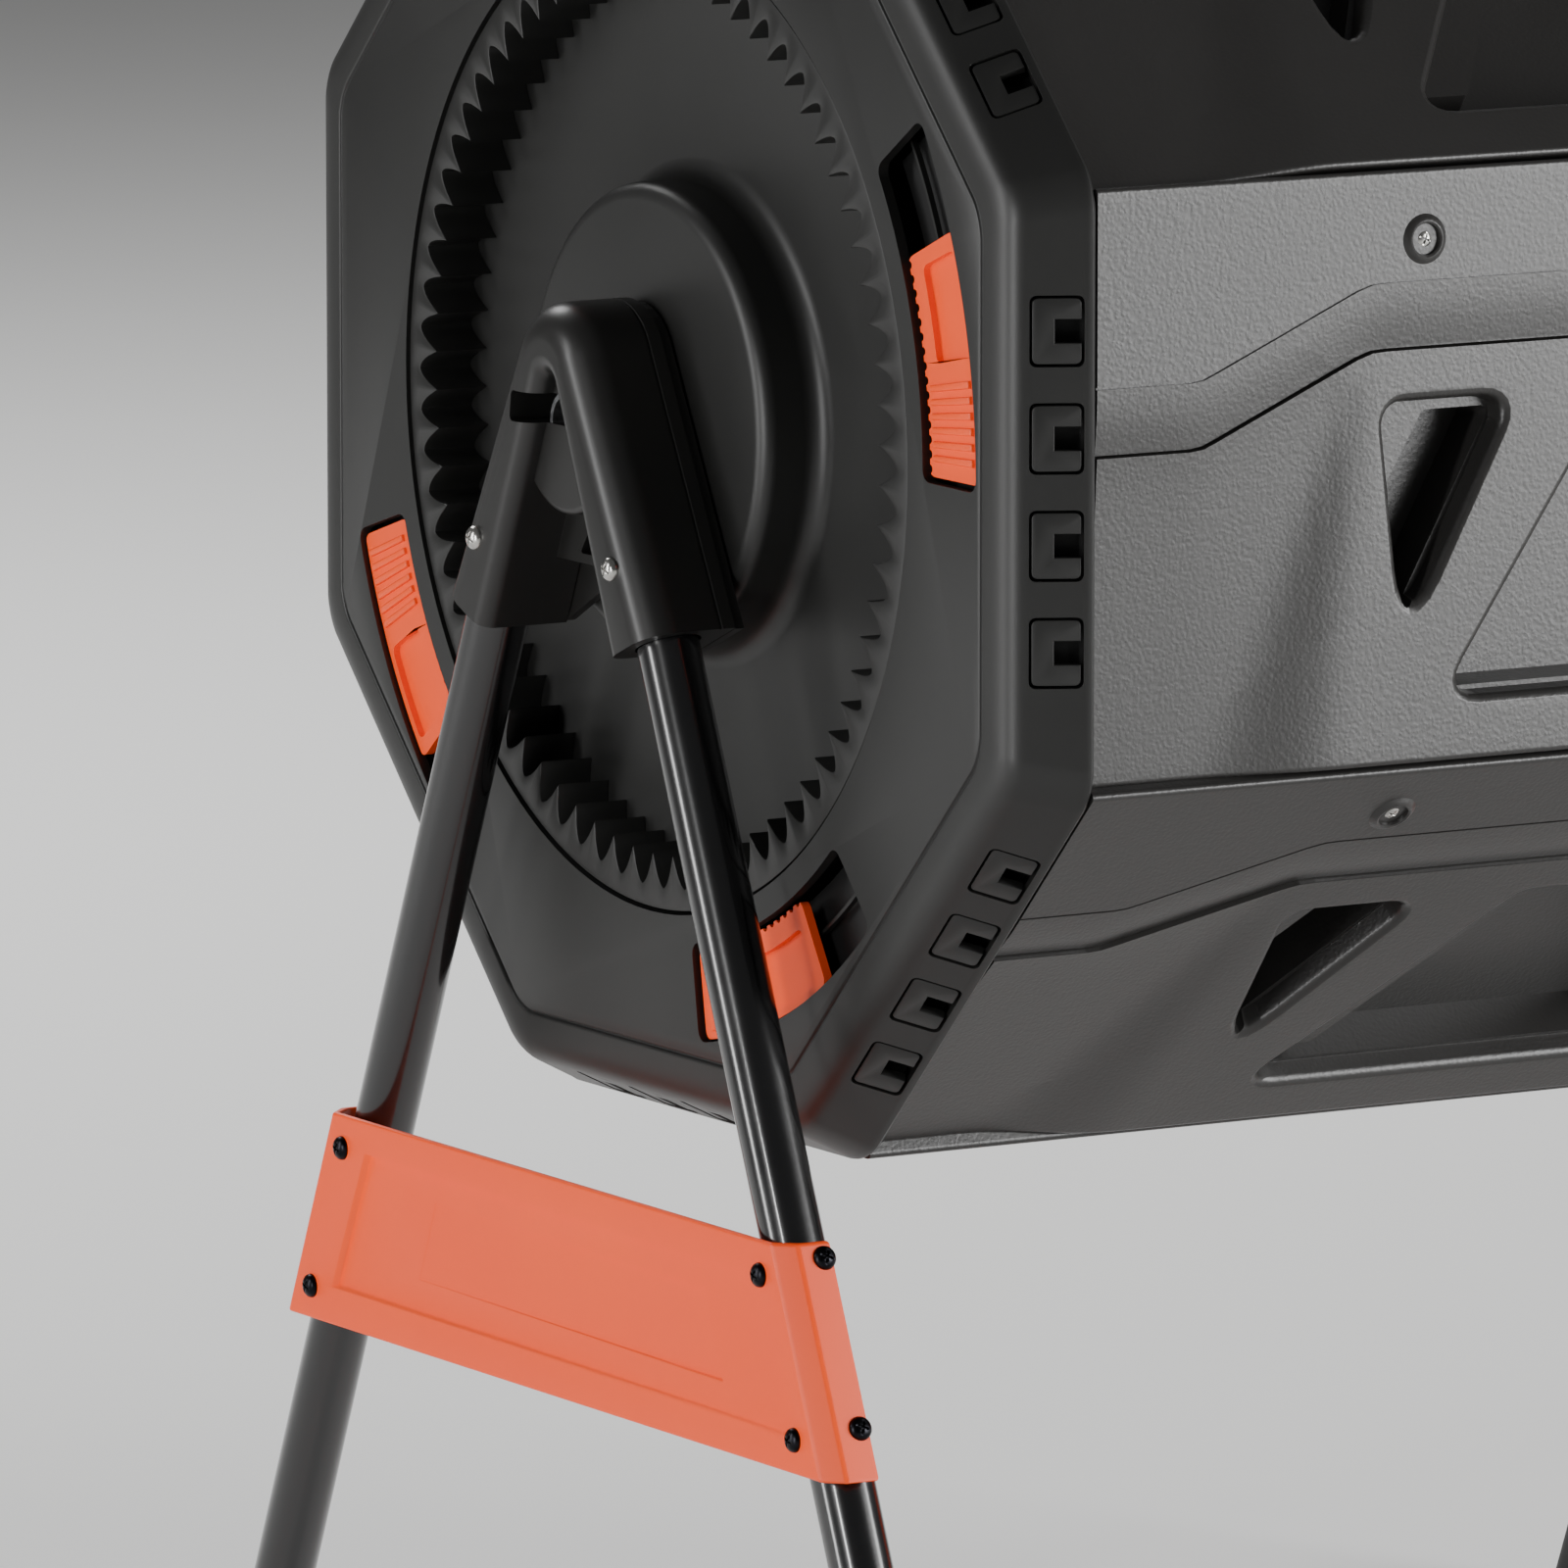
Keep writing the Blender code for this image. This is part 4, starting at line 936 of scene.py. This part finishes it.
def panel_screws():
    """Cross-headed screws in raised rings on the drum's flats."""
    ring = [(0.0, 0.0100), (-0.0009, 0.0088), (-0.0016, 0.0080), (-0.0018, 0.0072), (-0.0014, 0.0064),
            (0.0006, 0.0060), (0.0030, 0.0060), (0.0030, 0.0100)]
    collar = shown("collar", turned(ring, 48))
    head = dome(0.0039, 0.0022)
    # A screw's own axis, +X, goes into the flat.
    inward = Matrix.Rotation(math.pi / 2, 4, "Z")
    kinds = ((collar, "collar", PANEL_GREY, "panel_plastic", 0.0),
             (head, "screw", BRIGHT, "bright_steel", 0.0012))
    for name, degrees in FLATS.items():
        for side in (-1, 1):
            sink = relief(SCREW_AT[0], SCREW_AT[1])
            spot = Matrix.Translation((side * SCREW_AT[0], -PANEL_APOTHEM - sink, AXIS_Z + SCREW_AT[1]))
            for pattern, tag, finish, slot_name, lift in kinds:
                label = "panel_%s_%s_%s" % (tag, name, "rl"[side < 0])
                piece = bpy.data.objects.new(label, pattern.data.copy())
                piece.data.transform(about_axle(degrees) @ spot @ inward @ Matrix.Translation((lift, 0, 0)))
                bpy.context.scene.collection.objects.link(piece)
                dressed(piece, finish, "drum")
    bpy.data.objects.remove(collar)
    bpy.data.objects.remove(head)


def side_bolts():
    """Bolts through the side walls of the braces."""
    pattern = dome(BOLT_RADIUS, BOLT_HEIGHT)
    for height in SIDE_BOLT_HEIGHTS:
        y = (LEG_APEX - height) * math.tan(LEG_ANGLE) + BRACE_SIDE
        for side in (-1, 1):
            label = "side_bolt_left_%s_%d" % ("front" if side < 0 else "rear", -1000 * height)
            piece = bpy.data.objects.new(label, pattern.data.copy())
            spot = Matrix.Translation((BRACE_HIGH[0] - SIDE_BOLT_INSET, side * y, AXIS_Z + height))
            lean = Matrix.Rotation(side * LEG_ANGLE, 4, "X")
            piece.data.transform(spot @ lean @ Matrix.Rotation(-side * math.pi / 2, 4, "Z"))
            bpy.context.scene.collection.objects.link(piece)
            both_ends(piece, BLACKENED, "stand")
    bpy.data.objects.remove(pattern)


def doors():
    """Door panel and doors, with soft edges."""
    dressed(refined("door_panel", "door_frame", 0.0009), PANEL_GREY, "drum", ["door_panel"])
    for side in ("left", "right"):
        name = "door_" + side
        dressed(refined(name, "lid_" + side, 0.0011), PANEL_GREY, name, [name])


# ---------------------------------------------------------------- studio
LAMPS = (
    ("right_softbox", (2.15, -2.65, 0.95), (0, 0, 0.55), (1.9, 1.6), 150),
    ("left_softbox", (-3.2, 0.85, 1.0), (-0.3, 0, 0.55), (0.4, 2.2), 48),
    ("edge_strip", (-3.30, -1.25, 0.5), (-0.3, 0, 0.55), (0.16, 1.9), 62),
    ("rear_softbox", (0.6, 3.4, 3.4), (0, 1.8, 0), (3.0, 1.5), 150),
)


def studio():
    """Plain pale floor and a pale world, soft light from above and from the front right."""
    sweep = bmesh.new()
    bmesh.ops.create_grid(sweep, x_segments=1, y_segments=1, size=40)
    floor = shown("floor", sweep, 0, False)
    paper = finish_of("white_paper_sweep", {"Base Color": linear("#F4F4F3"), "Roughness": 0.9})[0]
    floor.data.materials.append(paper)
    world = bpy.data.worlds.new("studio")
    world.use_nodes = True
    world.node_tree.nodes["Background"].inputs["Color"].default_value = linear("#FDFDFD")
    world.node_tree.nodes["Background"].inputs["Strength"].default_value = 0.14
    bpy.context.scene.world = world
    for name, spot, target, size, power in LAMPS:
        lamp = bpy.data.lights.new(name, "AREA")
        lamp.shape = "RECTANGLE"
        lamp.size, lamp.size_y = size
        lamp.energy = power
        held = bpy.data.objects.new(name, lamp)
        held.location = spot
        held.rotation_euler = (Vector(target) - Vector(spot)).to_track_quat("-Z", "Y").to_euler()
        held.visible_camera = False
        bpy.context.scene.collection.objects.link(held)


def camera():
    """The view that the tumbler is seen in."""
    eye, aim = Vector((-3.441, -5.406, 1.386)), Vector((-0.272, -0.042, 0.453))
    lens = bpy.data.cameras.new("view")
    lens.lens = 358.6
    lens.sensor_width = 36
    lens.clip_end = 100
    held = bpy.data.objects.new("view", lens)
    held.location = eye
    held.rotation_euler = (aim - eye).to_track_quat("-Z", "Y").to_euler()
    bpy.context.scene.collection.objects.link(held)
    bpy.context.scene.camera = held


def carry_over():
    """CAD pieces that are shown as they are, in their own finishes, but inner plastic in a black with painted
    shade.
    """
    finishes = {"cap_plastic": CAP_BLACK, "hub_plastic": HUB_BLACK, "foot_plastic": FOOT_BLACK,
                "panel_plastic": PANEL_GREY, "door_plastic": PANEL_GREY, "orange_plastic": ORANGE,
                "gloss_tube": TUBE_BLACK, "bright_steel": BRIGHT, "black_steel": BLACKENED,
                "axle_steel": AXLE_STEEL, "inner_plastic": PAINTED_SHADE_BLACK}
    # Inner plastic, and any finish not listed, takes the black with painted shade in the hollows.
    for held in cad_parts.values():
        for spot in held.material_slots:
            spot.material = finishes.get(spot.material.name.split(".")[0], PAINTED_SHADE_BLACK)


end_cap()
cap_dish()
clip_tabs()
gear_ring()
vents()
side_panels()
hub()
legs()
braces()
screws()
side_bolts()
panel_screws()
doors()
carry_over()
studio()
camera()
